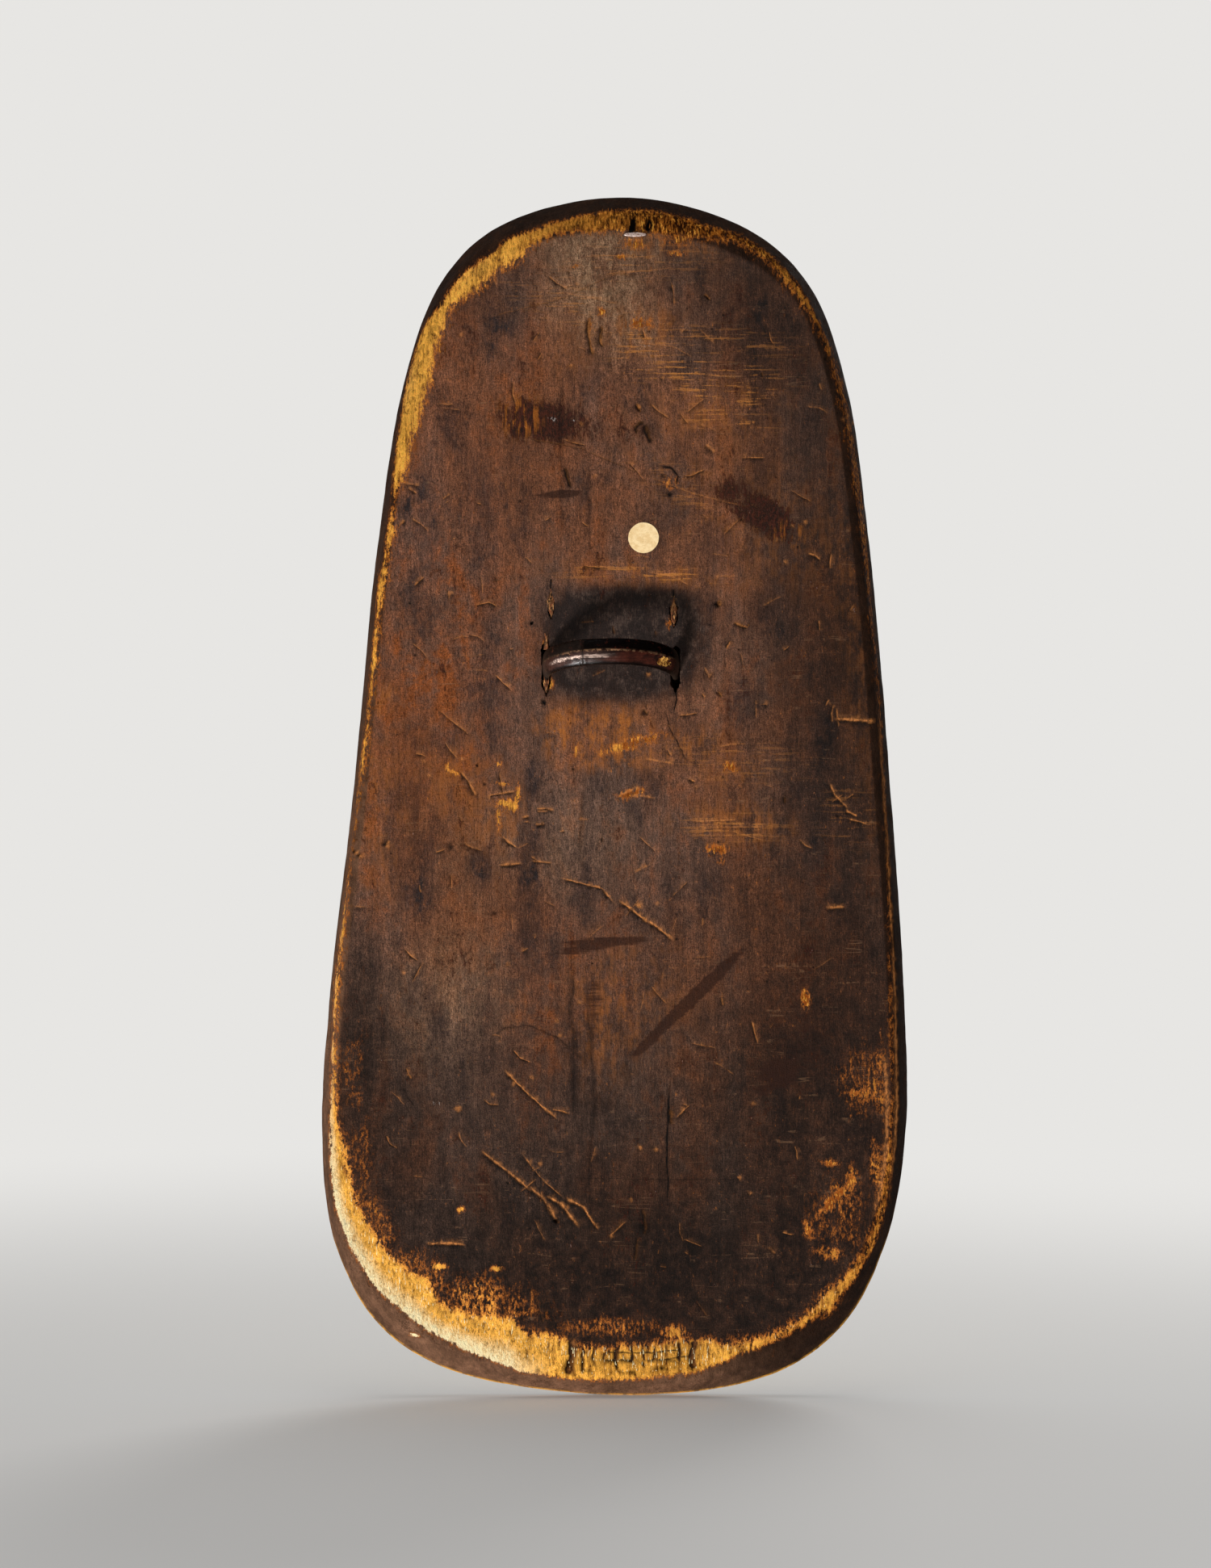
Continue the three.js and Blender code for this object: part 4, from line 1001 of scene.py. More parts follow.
class Graph:
    """A node tree under way; its sockets take wires and plain values alike."""

    def __init__(self, tree):
        self.tree = tree
        tree.nodes.clear()

    def node(self, kind, inputs=None, output=0, **settings):
        node = self.tree.nodes.new(kind)
        for name, value in settings.items():
            setattr(node, name, value)
        for name, value in (inputs or {}).items():
            self.put(node.inputs[name], value)
        return Wire(self, node, output)

    def put(self, socket, value):
        if isinstance(value, Wire):
            self.tree.links.new(value.node.outputs[value.output], socket)
        else:
            socket.default_value = value

    def math(self, operation, first, second=0.0, clamp=False):
        return self.node("ShaderNodeMath", {0: first, 1: second}, operation=operation, use_clamp=clamp)

    def scaled(self, vector, factor):
        return self.node("ShaderNodeVectorMath", {0: vector, "Scale": factor}, operation="SCALE")

    def seen_directly(self):
        """1 for what the camera sees, in mirrors too, and 0 for what only lights the rest."""
        path = self.node("ShaderNodeLightPath")
        return path["Is Camera Ray"] | path["Is Glossy Ray"] | path["Is Transmission Ray"]


class Finish(Graph):
    """A material under way, with the colour that its coats have made so far."""

    # Most of a noise's values lie between these two
    NOISE_RANGE = (0.34, 0.66)

    def __init__(self, name):
        material = bpy.data.materials.new(name)
        material.use_nodes = True
        super().__init__(material.node_tree)
        self.shader = self.node("ShaderNodeBsdfPrincipled")
        self.node("ShaderNodeOutputMaterial", {"Surface": self.shader})
        self.place = self.node("ShaderNodeTexCoord", output="Object")

    def noise(self, scale, detail=3.0, roughness=0.55, distortion=0.0, x=1, z=1, tilt=0):
        """Noise over the object's own coordinates, turned in the plane of the back and stretched."""
        place = self.place
        if (x, z, tilt) != (1, 1, 0):
            stretch = {"Vector": place, "Rotation": (0, tilt, 0), "Scale": (x, 1, z)}
            place = self.node("ShaderNodeMapping", stretch)
        values = {"Scale": scale, "Detail": detail, "Roughness": roughness, "Distortion": distortion}
        return self.node("ShaderNodeTexNoise", {"Vector": place, **values}, "Fac")

    def field(self, name):
        return self.node("ShaderNodeAttribute", output="Fac", attribute_name=name)

    def axes(self):
        return self.node("ShaderNodeSeparateXYZ", {0: self.place})

    def capped(self, first, second):
        """The product of two values, no more than 1."""
        return self.math("MULTIPLY", first, second, clamp=True)

    def hairs(self, turn, scale, mask):
        """Fine broken hairlines, all turned the same way in the plane of the back."""
        along = self.noise(scale, 1, 0.4, x=0.03, tilt=math.radians(turn))
        return abs(along - 0.5).step(0.002, 0.009, 1, 0) * mask

    def mix(self, share, first, second):
        return self.node("ShaderNodeMix", {0: share, 6: first, 7: second}, 2, data_type="RGBA")

    def shade(self, colour, *tones):
        """The colour multiplied by greys; each tone is a noise and its darkest and lightest grey."""
        for noise, darkest, lightest in tones:
            colour = self.scaled(colour, noise.step(*self.NOISE_RANGE, darkest, lightest))
        return colour

    def coat(self, share, colour):
        self.colour = self.mix(share, self.colour, colour)

    def tone(self, *tones):
        self.colour = self.shade(self.colour, *tones)

    def finish(self, roughness, height=None, distance=0.0, strength=1.0, specular=0.5, metallic=0.0):
        values = {"Base Color": self.colour, "Roughness": roughness,
                  "Specular IOR Level": specular, "Metallic": metallic}
        if height is not None:
            relief = {"Distance": distance, "Strength": strength, "Height": height}
            values["Normal"] = self.node("ShaderNodeBump", relief)
        for name, value in values.items():
            self.put(self.shader.node.inputs[name], value)


def stained_softwood(colours):
    """Softwood rubbed dark by hands and smoke, with painted shade towards its top and right, and worn back to
    raw fibres along the arris.
    """
    wood = Finish("stained_softwood")
    clouds = wood.noise(15, 5, 0.62, 0.4, z=0.5)
    blots = wood.noise(48, 6, 0.68, 0.3, z=0.4)
    mottle = wood.noise(120, 7, 0.72)
    tear = wood.noise(150, 7, 0.74, z=0.55)
    crumbs = wood.noise(560, 6, 0.76, z=0.5)
    streaks = wood.noise(150, 4, 0.6, 0.3, z=0.07)
    grain = wood.noise(620, 4, 0.62, z=0.05)
    pores = wood.noise(1500, 3, 0.6, z=0.14)
    specks = wood.noise(1500, 3, 0.8, z=0.7)
    ridges = wood.noise(480, 3, 0.6, z=0.1)
    cord = wood.noise(800, 3, 0.6, z=0.28)
    brush = wood.noise(560, 3, 0.6, x=0.06, tilt=math.radians(5))

    # The stain, from its broad changes to its finest
    wood.colour = wood.mix(clouds.step(0.44, 0.58), colours.stain, colours.stain_grey)
    ruddy = wood.field("ruddy") * 0.8 + blots.step(0.5, 0.62, 0, 0.45)
    wood.coat(wood.capped(ruddy, mottle.step(0.36, 0.58, 0.45, 1.1)), colours.stain_ruddy)
    bleached = wood.field("bleached") * blots.step(0.4, 0.6, 0.15) * crumbs.step(0.36, 0.6, 0.4)
    wood.coat(bleached, colours.bleached)
    slate = wood.field("slate") * 1.15 + blots.step(0.36, 0.48, 0.55, 0)
    wood.coat(wood.capped(slate, tear.step(0.38, 0.6, 0.25, 1.1)), colours.slate)
    # Darker stain towards the foot, with painted shade down the right side and round the top
    wood.coat(wood.capped(wood.field("charred"), mottle.step(0.36, 0.64, 1.05, 0.93)), colours.charred)
    wood.tone((clouds, 0.84, 1.18), (blots, 0.77, 1.21), (streaks, 0.91, 1.09), (mottle, 0.84, 1.16),
              (grain, 0.88, 1.11), (pores, 0.74, 1.24), (crumbs, 0.72, 1.28), (specks, 0.5, 1.54))

    # Places rubbed thin, bright chips, and hairlines that cross each other
    rubbed = wood.field("rubbed")
    wood.coat(rubbed * tear.step(0.42, 0.6) * grain.step(0.36, 0.62, 0.35), colours.rubbed)
    swept = brush + (crumbs - 0.5) * 0.35 + (tear - 0.5) * 0.45
    brushed = wood.field("brushed") * swept.step(0.54, 0.63)
    wood.coat(brushed * 0.9, colours.brushed)
    wood.coat(crumbs.step(0.6, 0.66) * mottle.step(0.5, 0.58) * rubbed.step(0, 0.6, 0.5), colours.fleck)
    hairs = (wood.hairs(11, 150, blots.step(0.52, 0.64)) + wood.hairs(-36, 130, mottle.step(0.53, 0.62))
             + wood.hairs(48, 120, tear.step(0.54, 0.62)))
    wood.coat(wood.capped(hairs, 0.3), colours.hairline)

    # Soot of the hand's place, smears and what is left of two paper labels
    torn = (tear - 0.5) * 2.3 + (crumbs - 0.5) * 2.6 + (specks - 0.5) * 1.2
    soot = (wood.field("sooty") + torn * 0.25).step(0.12, 0.9)
    polished = mottle.step(0.46, 0.62) * pores.step(0.4, 0.6, 0.3)
    soot_colour = wood.mix(polished, colours.soot, colours.soot_pale)
    wood.coat(soot * 0.95, wood.shade(soot_colour, (specks, 0.66, 1.34), (crumbs, 0.74, 1.26)))
    smear = (wood.field("smear") + torn * 0.2 + (brush - 0.5) * 0.8).step(0.22, 0.5)
    wood.coat(smear * 0.8, colours.smear)
    residue = (wood.field("residue") + torn * 0.9 + (blots - 0.5) * 1.6).step(0.36, 0.66)
    crust = wood.mix(crumbs.step(0.44, 0.58), colours.residue_dark, colours.residue)
    wood.coat(residue * 0.9, crust)
    pulled = wood.field("residue_fibre") * ridges.step(0.48, 0.58) * tear.step(0.42, 0.54)
    wood.coat(pulled * 0.85, colours.fleck)
    wood.coat((wood.field("chalk") + torn * 0.8).step(0.5, 0.7), colours.chalk)

    # The side wall is duller than the back, and darker towards the top and the right with painted shade
    wall = wood.field("wall")
    wall_colour = wood.mix(wood.field("wall_dark"), colours.wall, colours.wall_dark)
    wall_colour = wood.shade(
        wall_colour, (blots, 0.72, 1.25), (mottle, 0.75, 1.25), (crumbs, 0.8, 1.2), (streaks, 0.85, 1.15))
    wood.coat(wall * 0.92, wall_colour)
    wood.coat(wood.field("rim_line") * tear.step(0.4, 0.54, 0.2), colours.worn)

    # Raw wood where the stain is worn through: brown dust, then gold with torn fibres; at the top and right
    # it is deeper orange-brown in painted shade, with painted shadows and glints on its fibres, and a cream
    # painted highlight lies on the outside
    tone_and_light, across = wood.field("paler"), wood.field("across")
    ridged = (ridges - 0.5) * tone_and_light.step(0.0, 0.7, 2.4, 0.6)
    worn = wood.field("worn") + torn + ridged * 0.55
    raw = worn.step(-0.04, 0.22)
    half_worn = worn.step(-0.95, -0.05) * crumbs.step(0.44, 0.56) * 0.75
    wood.coat(half_worn, wood.mix(worn.step(-0.6, 0), colours.worn_edge, colours.half_worn))
    bare = wood.mix(tone_and_light.step(-1, 0), colours.worn_deep_shade, colours.worn)
    bare = wood.mix(worn.step(0.0, 0.7, 0.7, 0), bare, colours.half_worn)
    pits = crumbs.step(0.37, 0.47, 0.85, 0) + ridged.step(-0.3, -0.06, 0.8, 0)
    bare = wood.mix(wood.capped(pits, 0.66), bare, colours.worn_edge)
    shadows = (cord * 0.6 + tear * 0.4).step(0.45, 0.53, 0.92, 0) * across.step(-0.9, 0)
    bare = wood.mix(tone_and_light.step(-0.75, -0.35, 1, 0) * shadows, bare, colours.worn_shadow)
    glints = tone_and_light.step(-0.75, -0.45, 1, 0) * (crumbs * 0.5 + cord * 0.5).step(0.53, 0.6)
    bare = wood.mix(glints * 0.75, bare, colours.worn)
    bare = wood.shade(bare, (crumbs, 0.8, 1.2), (tear, 0.66, 1.34))
    # Painted highlight: cream on the band's outer part, where the rounded arris faces the key lamp
    pale = tone_and_light.step(0.08, 0.8) * (across + torn * 0.12).step(0.42, 0.92) * torn.step(-0.75, 0.15, 0.35)
    cream = wood.mix(crumbs.step(0.4, 0.6, 0.2, 0), colours.worn_pale_highlight, colours.worn)
    wood.coat(raw, wood.shade(wood.mix(pale, bare, cream), (pores, 0.92, 1.05)))

    # Scratches show pale raw wood, painted as a highlight on their far wall and as painted shade on their
    # lamp-side wall; splits, holes and the slots' walls are dark with painted shade
    wood.coat(wood.capped(wood.field("gap"), 1.25), colours.gap)
    wood.coat(wood.capped(wood.field("score"), crumbs.step(0.38, 0.58, 0.25, 1.2)), colours.score)
    # Painted shade: the slots' walls are painted dark
    slot_colour = wood.mix(pores.step(0.5, 0.62), colours.gap, colours.worn_edge)
    wood.coat(wood.field("in_slot"), slot_colour)

    fine = pores * 0.45 + grain * 0.35 + mottle * 0.9 + crumbs * 1.8 + specks * 1.3 + blots + hairs * -0.1
    fibres = raw * (ridged * 0.7 + cord * 0.8 + crumbs * 0.6 - 0.9)
    height = fine + fibres + residue * crumbs * 1.2 + brushed * -0.3
    roughness = mottle.step(0.34, 0.66, 0.46, 0.66) + raw * 0.25 + wall * 0.15
    wood.finish(roughness, height, 0.0009, specular=wall.step(0, 1, 0.1, 0.02))


def painted_front(colours, paint):
    """Lime white with bands of soot black and red earth, chalky and rubbed off the high places."""
    face = Finish("painted_front")
    brush = face.noise(160, 4, 0.6, z=0.15)
    mottle = face.noise(70, 5, 0.65)
    fibres = face.noise(900, 3, 0.6, z=0.08)
    clouds = face.noise(14, 4, 0.6)

    # Every place from the board's middle and from its rim, in metres, a little off as by hand
    sway = (face.noise(24) - 0.5) * 0.006
    x = face.axes()["X"] - BOARD_MIDDLE[0] * MM + sway
    z = face.axes()["Z"] - BOARD_MIDDLE[1] * MM + sway
    rim = face.field("rim_in") * MM + sway

    def band(value, middle, half):
        edge = 0.0006
        return abs(value - middle).step(half - edge, half + edge, 1, 0)

    upward = z / paint.lens_height
    lens = abs(x) - (1.0 - upward * upward) * paint.lens_width
    wide, high = x / paint.ring_width, z / paint.ring_height
    oval = face.math("SQRT", wide * wide + high * high) * paint.ring_width
    inner_ring, outer_ring = paint.ring_width * 0.45, paint.ring_width * 0.78
    red = band(rim, 0.021, 0.0035) | band(lens, -0.016, 0.005) | band(oval, inner_ring, 0.006)
    black = band(rim, 0.0, paint.border) | band(lens, 0.0, 0.0035) | band(oval, outer_ring, 0.004)
    bars = band(abs(z), 0.19, 0.004) * lens.step(0, 0.002)

    face.colour = face.mix(clouds.step(0.4, 0.7), paint.lime, paint.lime_dull)
    face.coat(red, paint.red)
    face.coat(black | bars, paint.black)
    face.tone((brush, 0.86, 1.08), (mottle, 0.9, 1.06))
    worn = mottle * 0.5 + fibres * 0.5 + face.field("rim_in").step(0, 9, 0.06, 0)
    bare = worn.step(0.56, 0.6)
    face.coat(bare * 0.85, face.mix(fibres.step(0.4, 0.6), colours.stain, colours.stain_grey))
    height = brush * 0.7 + fibres - bare * 0.5
    face.finish(mottle.step(0.3, 0.7, 0.7, 0.9), height, 0.0004, 0.8, specular=0.3)


def polished_cane(cane):
    """Split cane, near black on the top half in painted shade and glossy red-brown below with a painted
    highlight streak, with a rubbed crest.
    """
    skin = Finish("cane_skin")
    along, around = skin.field("along"), skin.field("around")
    fibres = skin.noise(1300, 3, 0.6, x=0.05)
    mottle = skin.noise(300, 6, 0.72)
    clouds = skin.noise(120, 4, 0.6, x=0.4)
    ragged = (mottle - 0.5) * 1.3 + (fibres - 0.5) * 0.5
    upper = around + ragged * 0.35
    # Painted shade: the upper half is near black where it faces away from the key lamp
    top = skin.mix(along.step(-17.6, -16.6), cane.top_left, cane.top_right)
    top = skin.mix(mottle.step(0.56, 0.66, 0, 0.5), top, cane.red)
    low = skin.mix(along.step(-12, 14), cane.under_left, cane.under_right)
    low = skin.mix(clouds.step(0.46, 0.62, 0, 0.7), low, cane.top_right)
    skin.colour = skin.mix(upper.step(-0.06, 0.1), low, top)
    # Painted highlight: a pale polished streak on the lower half at the left, where the key lamp glints
    glint = abs(upper + 0.4).step(0.02, 0.17, 1, 0) * along.step(-20, 6, 1, 0) * along.step(-37, -29)
    skin.coat(glint * fibres.step(0.42, 0.58, 0.3), cane.rubbed)
    crest = abs(upper - 0.05).step(0.03, 0.12, 1, 0) * mottle.step(0.42, 0.6)
    crest = crest * along.step(-4, 14, 1, 0.35) * along.step(-30, -18, 0.3)
    skin.coat(crest * 0.7, cane.crest)
    skin.coat(around.step(-0.72, -0.95), cane.top_right)
    skin.coat(skin.field("joint_line"), cane.joint)
    chip = (skin.field("chip") + ragged * 1.4).step(0.35, 0.5)
    skin.coat(chip, skin.mix(mottle.step(0.42, 0.56), cane.chip_dark, cane.chip))
    foot = abs(along).step(35, 40.5)
    skin.coat(foot * 0.75, cane.foot)
    skin.tone((fibres, 0.74, 1.18), (mottle, 0.72, 1.18))
    height = mottle * 0.8 + fibres + chip * -2.5 + clouds * 0.8
    roughness = mottle.step(0.35, 0.65, 0.14, 0.3) + chip * 0.5 + foot * 0.25
    gloss = upper.step(-0.3, 0.1, 0.3, 0.02) * along.step(-14, 8, 1, 0.15)
    skin.finish(roughness, height, 0.0003, 0.8, gloss)


def split_fibre(fibre):
    """Raw broken fibres, pale on the ends and dark in between as painted shade."""
    end = Finish("broken_fibre")
    threads = end.noise(900, 4, 0.65, z=0.16)
    mottle = end.noise(380, 4, 0.65)
    end.colour = end.mix(threads.step(0.44, 0.6), fibre.dark, fibre.pale)
    end.coat(mottle.step(0.42, 0.57, 0, 0.9), fibre.brown)
    end.finish(0.85, threads, 0.0002, 0.8, specular=0.2)


def raw_splinter(colours):
    """Torn fibres of the arris: cream as a painted highlight at the foot, golden above, and deeper
    orange-brown in painted shade higher up and to the right.
    """
    torn = Finish("raw_splinter")
    mottle = torn.noise(400, 4, 0.7)
    level = torn.axes()["Z"] + torn.axes()["X"] * 0.35 + (mottle - 0.5) * 0.3
    torn.colour = torn.mix(level.step(-0.4, -0.3), colours.worn_pale_highlight, colours.worn)
    torn.coat(level.step(0.12, 0.22, 0, 0.85), colours.worn_deep_shade)
    torn.tone((mottle, 0.6, 1.1))
    torn.finish(0.85, specular=0.1)


def grey_metal(metal):
    """Old iron wire, hammered, dulled and touched with rust."""
    wire = Finish("hammered_iron")
    pits = wire.noise(900, 4, 0.65)
    blows = wire.noise(420, 2, 0.5, x=0.5)
    rust = wire.noise(330, 4, 0.6).step(0.56, 0.68)
    height = blows * 1.4 + pits
    wire.colour = wire.mix(pits.step(0.45, 0.7), metal.bright, metal.dull)
    wire.coat(rust, metal.rust)
    wire.finish(pits.step(0.3, 0.7, 0.35, 0.6), height, 0.0001, 0.6, metallic=rust.step(0, 1, 0.85, 0.1))


def label_paper(paper):
    """Uncoated cream paper with stained places and stray fibres."""
    sheet = Finish("label_stock")
    pulp = sheet.noise(1500, 4, 0.7)
    clouds = sheet.noise(300, 4, 0.65)
    hairs = sheet.noise(1400, 2, 0.5, x=0.25, tilt=0.7)
    sheet.colour = sheet.mix(clouds.step(0.4, 0.65), paper.cream, paper.shadow)
    sheet.coat(hairs.step(0.64, 0.72, 0, 0.5), paper.speck)
    sheet.tone((pulp, 0.93, 1.04))
    sheet.finish(0.9, pulp, 0.00006, 0.7, specular=0.2)


# Cane strap, in millimetres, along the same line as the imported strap
GRIP_HEIGHT = 36.0
GRIP_RISE = 6.8
FOOT_SPAN = 80.0
STRAP_WIDTH = 16.2
FOOT_WIDTH = 17.5
STRAP_THICKNESS = 5.0
TOE_KICK = 2.0
ARCH = ((0.99, 0.2, 0.06), (0.95, 0.43, 0.2), (0.85, 0.66, 0.43), (0.68, 0.86, 0.69), (0.4, 0.975, 0.9))
CREST_SHARE = 0.75
FIT_GAP = 0.3
LINE_PLACES = 40

# What the strap's skin bears: the cane's joint with its lip, and a chip
JOINT_X = -17.0
JOINT_SPREAD = 2.2
LIP_OFFSET = 0.4
LIP_SPREAD = 0.55
CHIP_PLACE = (32.5, -6.5)
CHIP_HALVES = (5.2, 3.2)
CHIP_DEPTH = 1.1

# The staple's wire, and how it is bent and driven
WIRE = 1.3
WIRE_BEND = 1.2
STAPLE_REACH = 9.0
BEND_PLACES = 8
CROWN_PLACES = 30

# How deep the slots' plugs are broken, and how deep fibres stand on them, in metres
BROKEN_DEPTH = 0.0006
TUFT_DEPTH = 0.002

# The label's rings, as shares of its radius, and the angle from which its rim is sharp
LABEL_RINGS = (0.04, 0.2, 0.4, 0.6, 0.75, 0.88, 0.96, 1.0)
LABEL_SHARP_FROM = math.radians(50)


def centripetal_line(points, per_span):
    """A centripetal Catmull-Rom curve through the points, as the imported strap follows."""
    points = np.array(points, dtype=float)
    knots = np.concatenate([[2 * points[0] - points[1]], points, [2 * points[-1] - points[-2]]])
    t = np.linspace(0, 1, per_span, endpoint=False)[:, None]
    line = []
    for a, b, c, d in zip(knots, knots[1:], knots[2:], knots[3:]):
        before, here, after = (max(np.linalg.norm(q - p) ** 0.5, 1e-4) for p, q in ((a, b), (b, c), (c, d)))
        start = ((b - a) / before - (c - a) / (before + here) + (c - b) / here) * here
        finish = ((c - b) / here - (d - b) / (here + after) + (d - c) / after) * here
        line.append(b + start * t + (3 * (c - b) - 2 * start - finish) * t ** 2
                    + (2 * (b - c) + start + finish) * t ** 3)
    return np.concatenate(line + [points[-1:]])


def strap_line():
    """Places on the strap's middle line, from toe to toe."""
    half = FOOT_SPAN / 2
    toe_depth = SLOT_DEPTH - FIT_GAP - FOOT_WIDTH / 2 * GRIP_RISE / math.hypot(GRIP_RISE, GRIP_HEIGHT)

    def arm(side):
        toe = (side * (half + TOE_KICK * toe_depth / SLOT_DEPTH), BACK_Y + toe_depth,
               STRAP_SLOT_Z - GRIP_RISE * toe_depth / GRIP_HEIGHT)
        bends = [(side * span * half, BACK_Y - height * GRIP_HEIGHT, STRAP_SLOT_Z + rise * GRIP_RISE)
                 for span, height, rise in ((1, 0, 0), *ARCH)]
        return [toe] + bends

    return arm(-1) + [(0, BACK_Y - GRIP_HEIGHT, STRAP_SLOT_Z + GRIP_RISE)] + arm(1)[::-1]


def lofted(rings):
    """Quads between rings of equal point counts, with a fan over each end."""
    count, total = len(rings[0]), len(rings) * len(rings[0])
    around = np.arange(count)
    after, end = (around + 1) % count, total - count
    near_fan = np.column_stack([around, np.full(count, total), after])
    far_fan = np.column_stack([end + around, end + after, np.full(count, total + 1)])
    places = np.concatenate([*rings, rings[0].mean(axis=0)[None], rings[-1].mean(axis=0)[None]])
    return places, [ring_quads(0, count, len(rings)), near_fan, far_fan]


def shape_of(*meshes):
    shape = bmesh.new()
    for mesh in meshes:
        shape.from_mesh(mesh)
    return shape


def fill_mesh(mesh, shape):
    shape.to_mesh(mesh)
    shape.free()
    return mesh


def lofted_piece(name, rings, material_name):
    """A closed piece of its own between rings of points."""
    piece, used = mesh_object(name, *lofted(rings), material_name)
    shape = shape_of(piece.data)
    bmesh.ops.recalc_face_normals(shape, faces=shape.faces)
    fill_mesh(piece.data, shape)
    return piece, used


def bend_strap(settings):
    """The strap: half round, rippled along its skin, with a joint and a chip."""
    centre, way = resampled(centripetal_line(strap_line(), LINE_PLACES), settings.steps)
    tangent = unit(np.gradient(centre, axis=0))
    lean = np.array([0, GRIP_RISE, GRIP_HEIGHT]) / math.hypot(GRIP_RISE, GRIP_HEIGHT)
    outward = unit(np.cross(tangent, lean))
    across = np.cross(outward, tangent)
    turn = np.arange(settings.sides) / settings.sides * 2 * np.pi
    sine, cosine = np.sin(turn), np.cos(turn)
    skin = sine > 0
    lift = np.where(skin, CREST_SHARE * np.abs(sine) ** 0.85, -(1 - CREST_SHARE) * np.abs(sine) ** 0.5)

    # One row for each step along the strap, one column for each point round it
    x, along = centre[:, [0]], (way - way[-1] / 2)[:, None]
    height = np.clip((BACK_Y - centre[:, [1]]) / GRIP_HEIGHT, 0, 1)
    above = smooth_step(0, 0.08, height)
    joint = np.exp(-((x - JOINT_X) / JOINT_SPREAD) ** 2) * above
    lip = np.exp(-((x - JOINT_X - LIP_OFFSET) / LIP_SPREAD) ** 2) * above
    width = FOOT_WIDTH + (STRAP_WIDTH - FOOT_WIDTH) * height + 0.5 * joint
    ripple = 0.10 * piled_noise(cosine * 3.1, along / 9, 71)
    notches = np.minimum(0.12 * field_noise(cosine * 6, along / 4, 73), 0)
    out = STRAP_THICKNESS * (lift + 0.5 - CREST_SHARE) + above * (ripple + notches) * skin
    out = out + (0.45 * joint - 0.35 * lip) * skin * np.abs(sine) ** 0.4
    side = width / 2 * cosine * (1 + 0.012 * above * field_noise(along / 6, cosine, 79))
    outward, across = outward[:, None], across[:, None]
    rings = centre[:, None] + out[:, :, None] * outward + side[:, :, None] * across
    ring_x, ring_z = rings[:, :, 0], rings[:, :, 2]
    from_chip = np.hypot((ring_x - CHIP_PLACE[0]) / CHIP_HALVES[0], (ring_z - CHIP_PLACE[1]) / CHIP_HALVES[1])
    chip = (1 - smooth_step(0.55, 1.05, from_chip)) * skin * above
    bitten = CHIP_DEPTH * chip * (0.8 + 0.4 * field_noise(ring_x / 1.3, ring_z / 1.3, 83))
    rings = rings - bitten[:, :, None] * outward

    piece, used = lofted_piece("bent_cane_strap", rings, "cane_skin")
    fields = {"along": x, "around": cosine, "joint_line": lip, "chip": chip}
    fields = {name: np.append(np.broadcast_to(values, chip.shape), (0, 0)) for name, values in fields.items()}
    fields["along"][-2:] = x[[0, -1], 0]
    write_fields(piece, fields, used)
    return piece


def splinter_nodes(material_name):
    """Geometry nodes: tapered splinters stood on a carrier's faces, near one direction."""
    tree = bpy.data.node_groups.new("Splinters On Faces", "GeometryNodeTree")
    tree.interface.new_socket("Geometry", in_out="OUTPUT", socket_type="NodeSocketGeometry")
    for name, kind in (
        ("Geometry", "Geometry"), ("Density", "Float"), ("Length", "Float"), ("Thickness", "Float"),
        ("Direction", "Rotation"), ("Scatter", "Float"), ("Seed", "Int"),
    ):
        tree.interface.new_socket(name, in_out="INPUT", socket_type="NodeSocket" + kind)
    graph = Graph(tree)
    given = graph.node("NodeGroupInput")
    carrier = {"Mesh": given["Geometry"], "Density": given["Density"], "Seed": given["Seed"]}
    spread = graph.node("GeometryNodeDistributePointsOnFaces", carrier)
    cone = {"Vertices": 5, "Side Segments": 2, "Radius Top": 0.12, "Radius Bottom": 0.5, "Depth": 1.0}
    splinter = graph.node("GeometryNodeMeshCone", cone)

    def chance(kind, low, high, offset):
        first = {"FLOAT_VECTOR": 0, "FLOAT": 2}[kind]
        seed = graph.node("FunctionNodeIntegerMath", {0: given["Seed"], 1: offset})
        values = {first: low, first + 1: high, "Seed": seed}
        return graph.node("FunctionNodeRandomValue", values, first // 2, data_type=kind)

    lean = graph.scaled(chance("FLOAT_VECTOR", (-1, -1, -3.1), (1, 1, 3.1), 5), given["Scatter"])
    turn = graph.node("FunctionNodeEulerToRotation", {0: lean})
    aim = graph.node("FunctionNodeRotateRotation", {"Rotation": given["Direction"], "Rotate By": turn})
    size = {"X": given["Thickness"], "Y": given["Thickness"], "Z": given["Length"]}
    grown = graph.scaled(graph.node("ShaderNodeCombineXYZ", size), chance("FLOAT", 0.45, 1.25, 9))
    placed = {"Points": spread, "Instance": splinter, "Rotation": aim, "Scale": grown}
    real = graph.node("GeometryNodeRealizeInstances", {0: graph.node("GeometryNodeInstanceOnPoints", placed)})
    finished = {"Geometry": real, "Material": bpy.data.materials[material_name]}
    graph.node("NodeGroupOutput", {0: graph.node("GeometryNodeSetMaterial", finished)})
    return tree


def grow_splinters(name, carrier_shape, tree, settings, seed, direction=0.0):
    """Runs the splinter nodes over a carrier's faces and returns the splinters as a plain object."""
    carrier = linked(name + "_carrier", fill_mesh(bpy.data.meshes.new(name + "_carrier"), carrier_shape))
    modifier = carrier.modifiers.new("splinters", "NODES")
    modifier.node_group = tree
    values = {"Direction": (math.radians(direction), 0, 0), "Seed": seed}
    for label in ("Density", "Length", "Thickness", "Scatter"):
        values[label] = getattr(settings, label.lower())
    for item in tree.interface.items_tree:
        if item.name in values:
            modifier[item.identifier] = values[item.name]
    graph = bpy.context.evaluated_depsgraph_get()
    graph.update()
    mesh = bpy.data.meshes.new_from_object(carrier.evaluated_get(graph))
    mesh.name = name
    carrier.modifiers.clear()
    bpy.data.objects.remove(carrier)
    return linked(name, mesh)


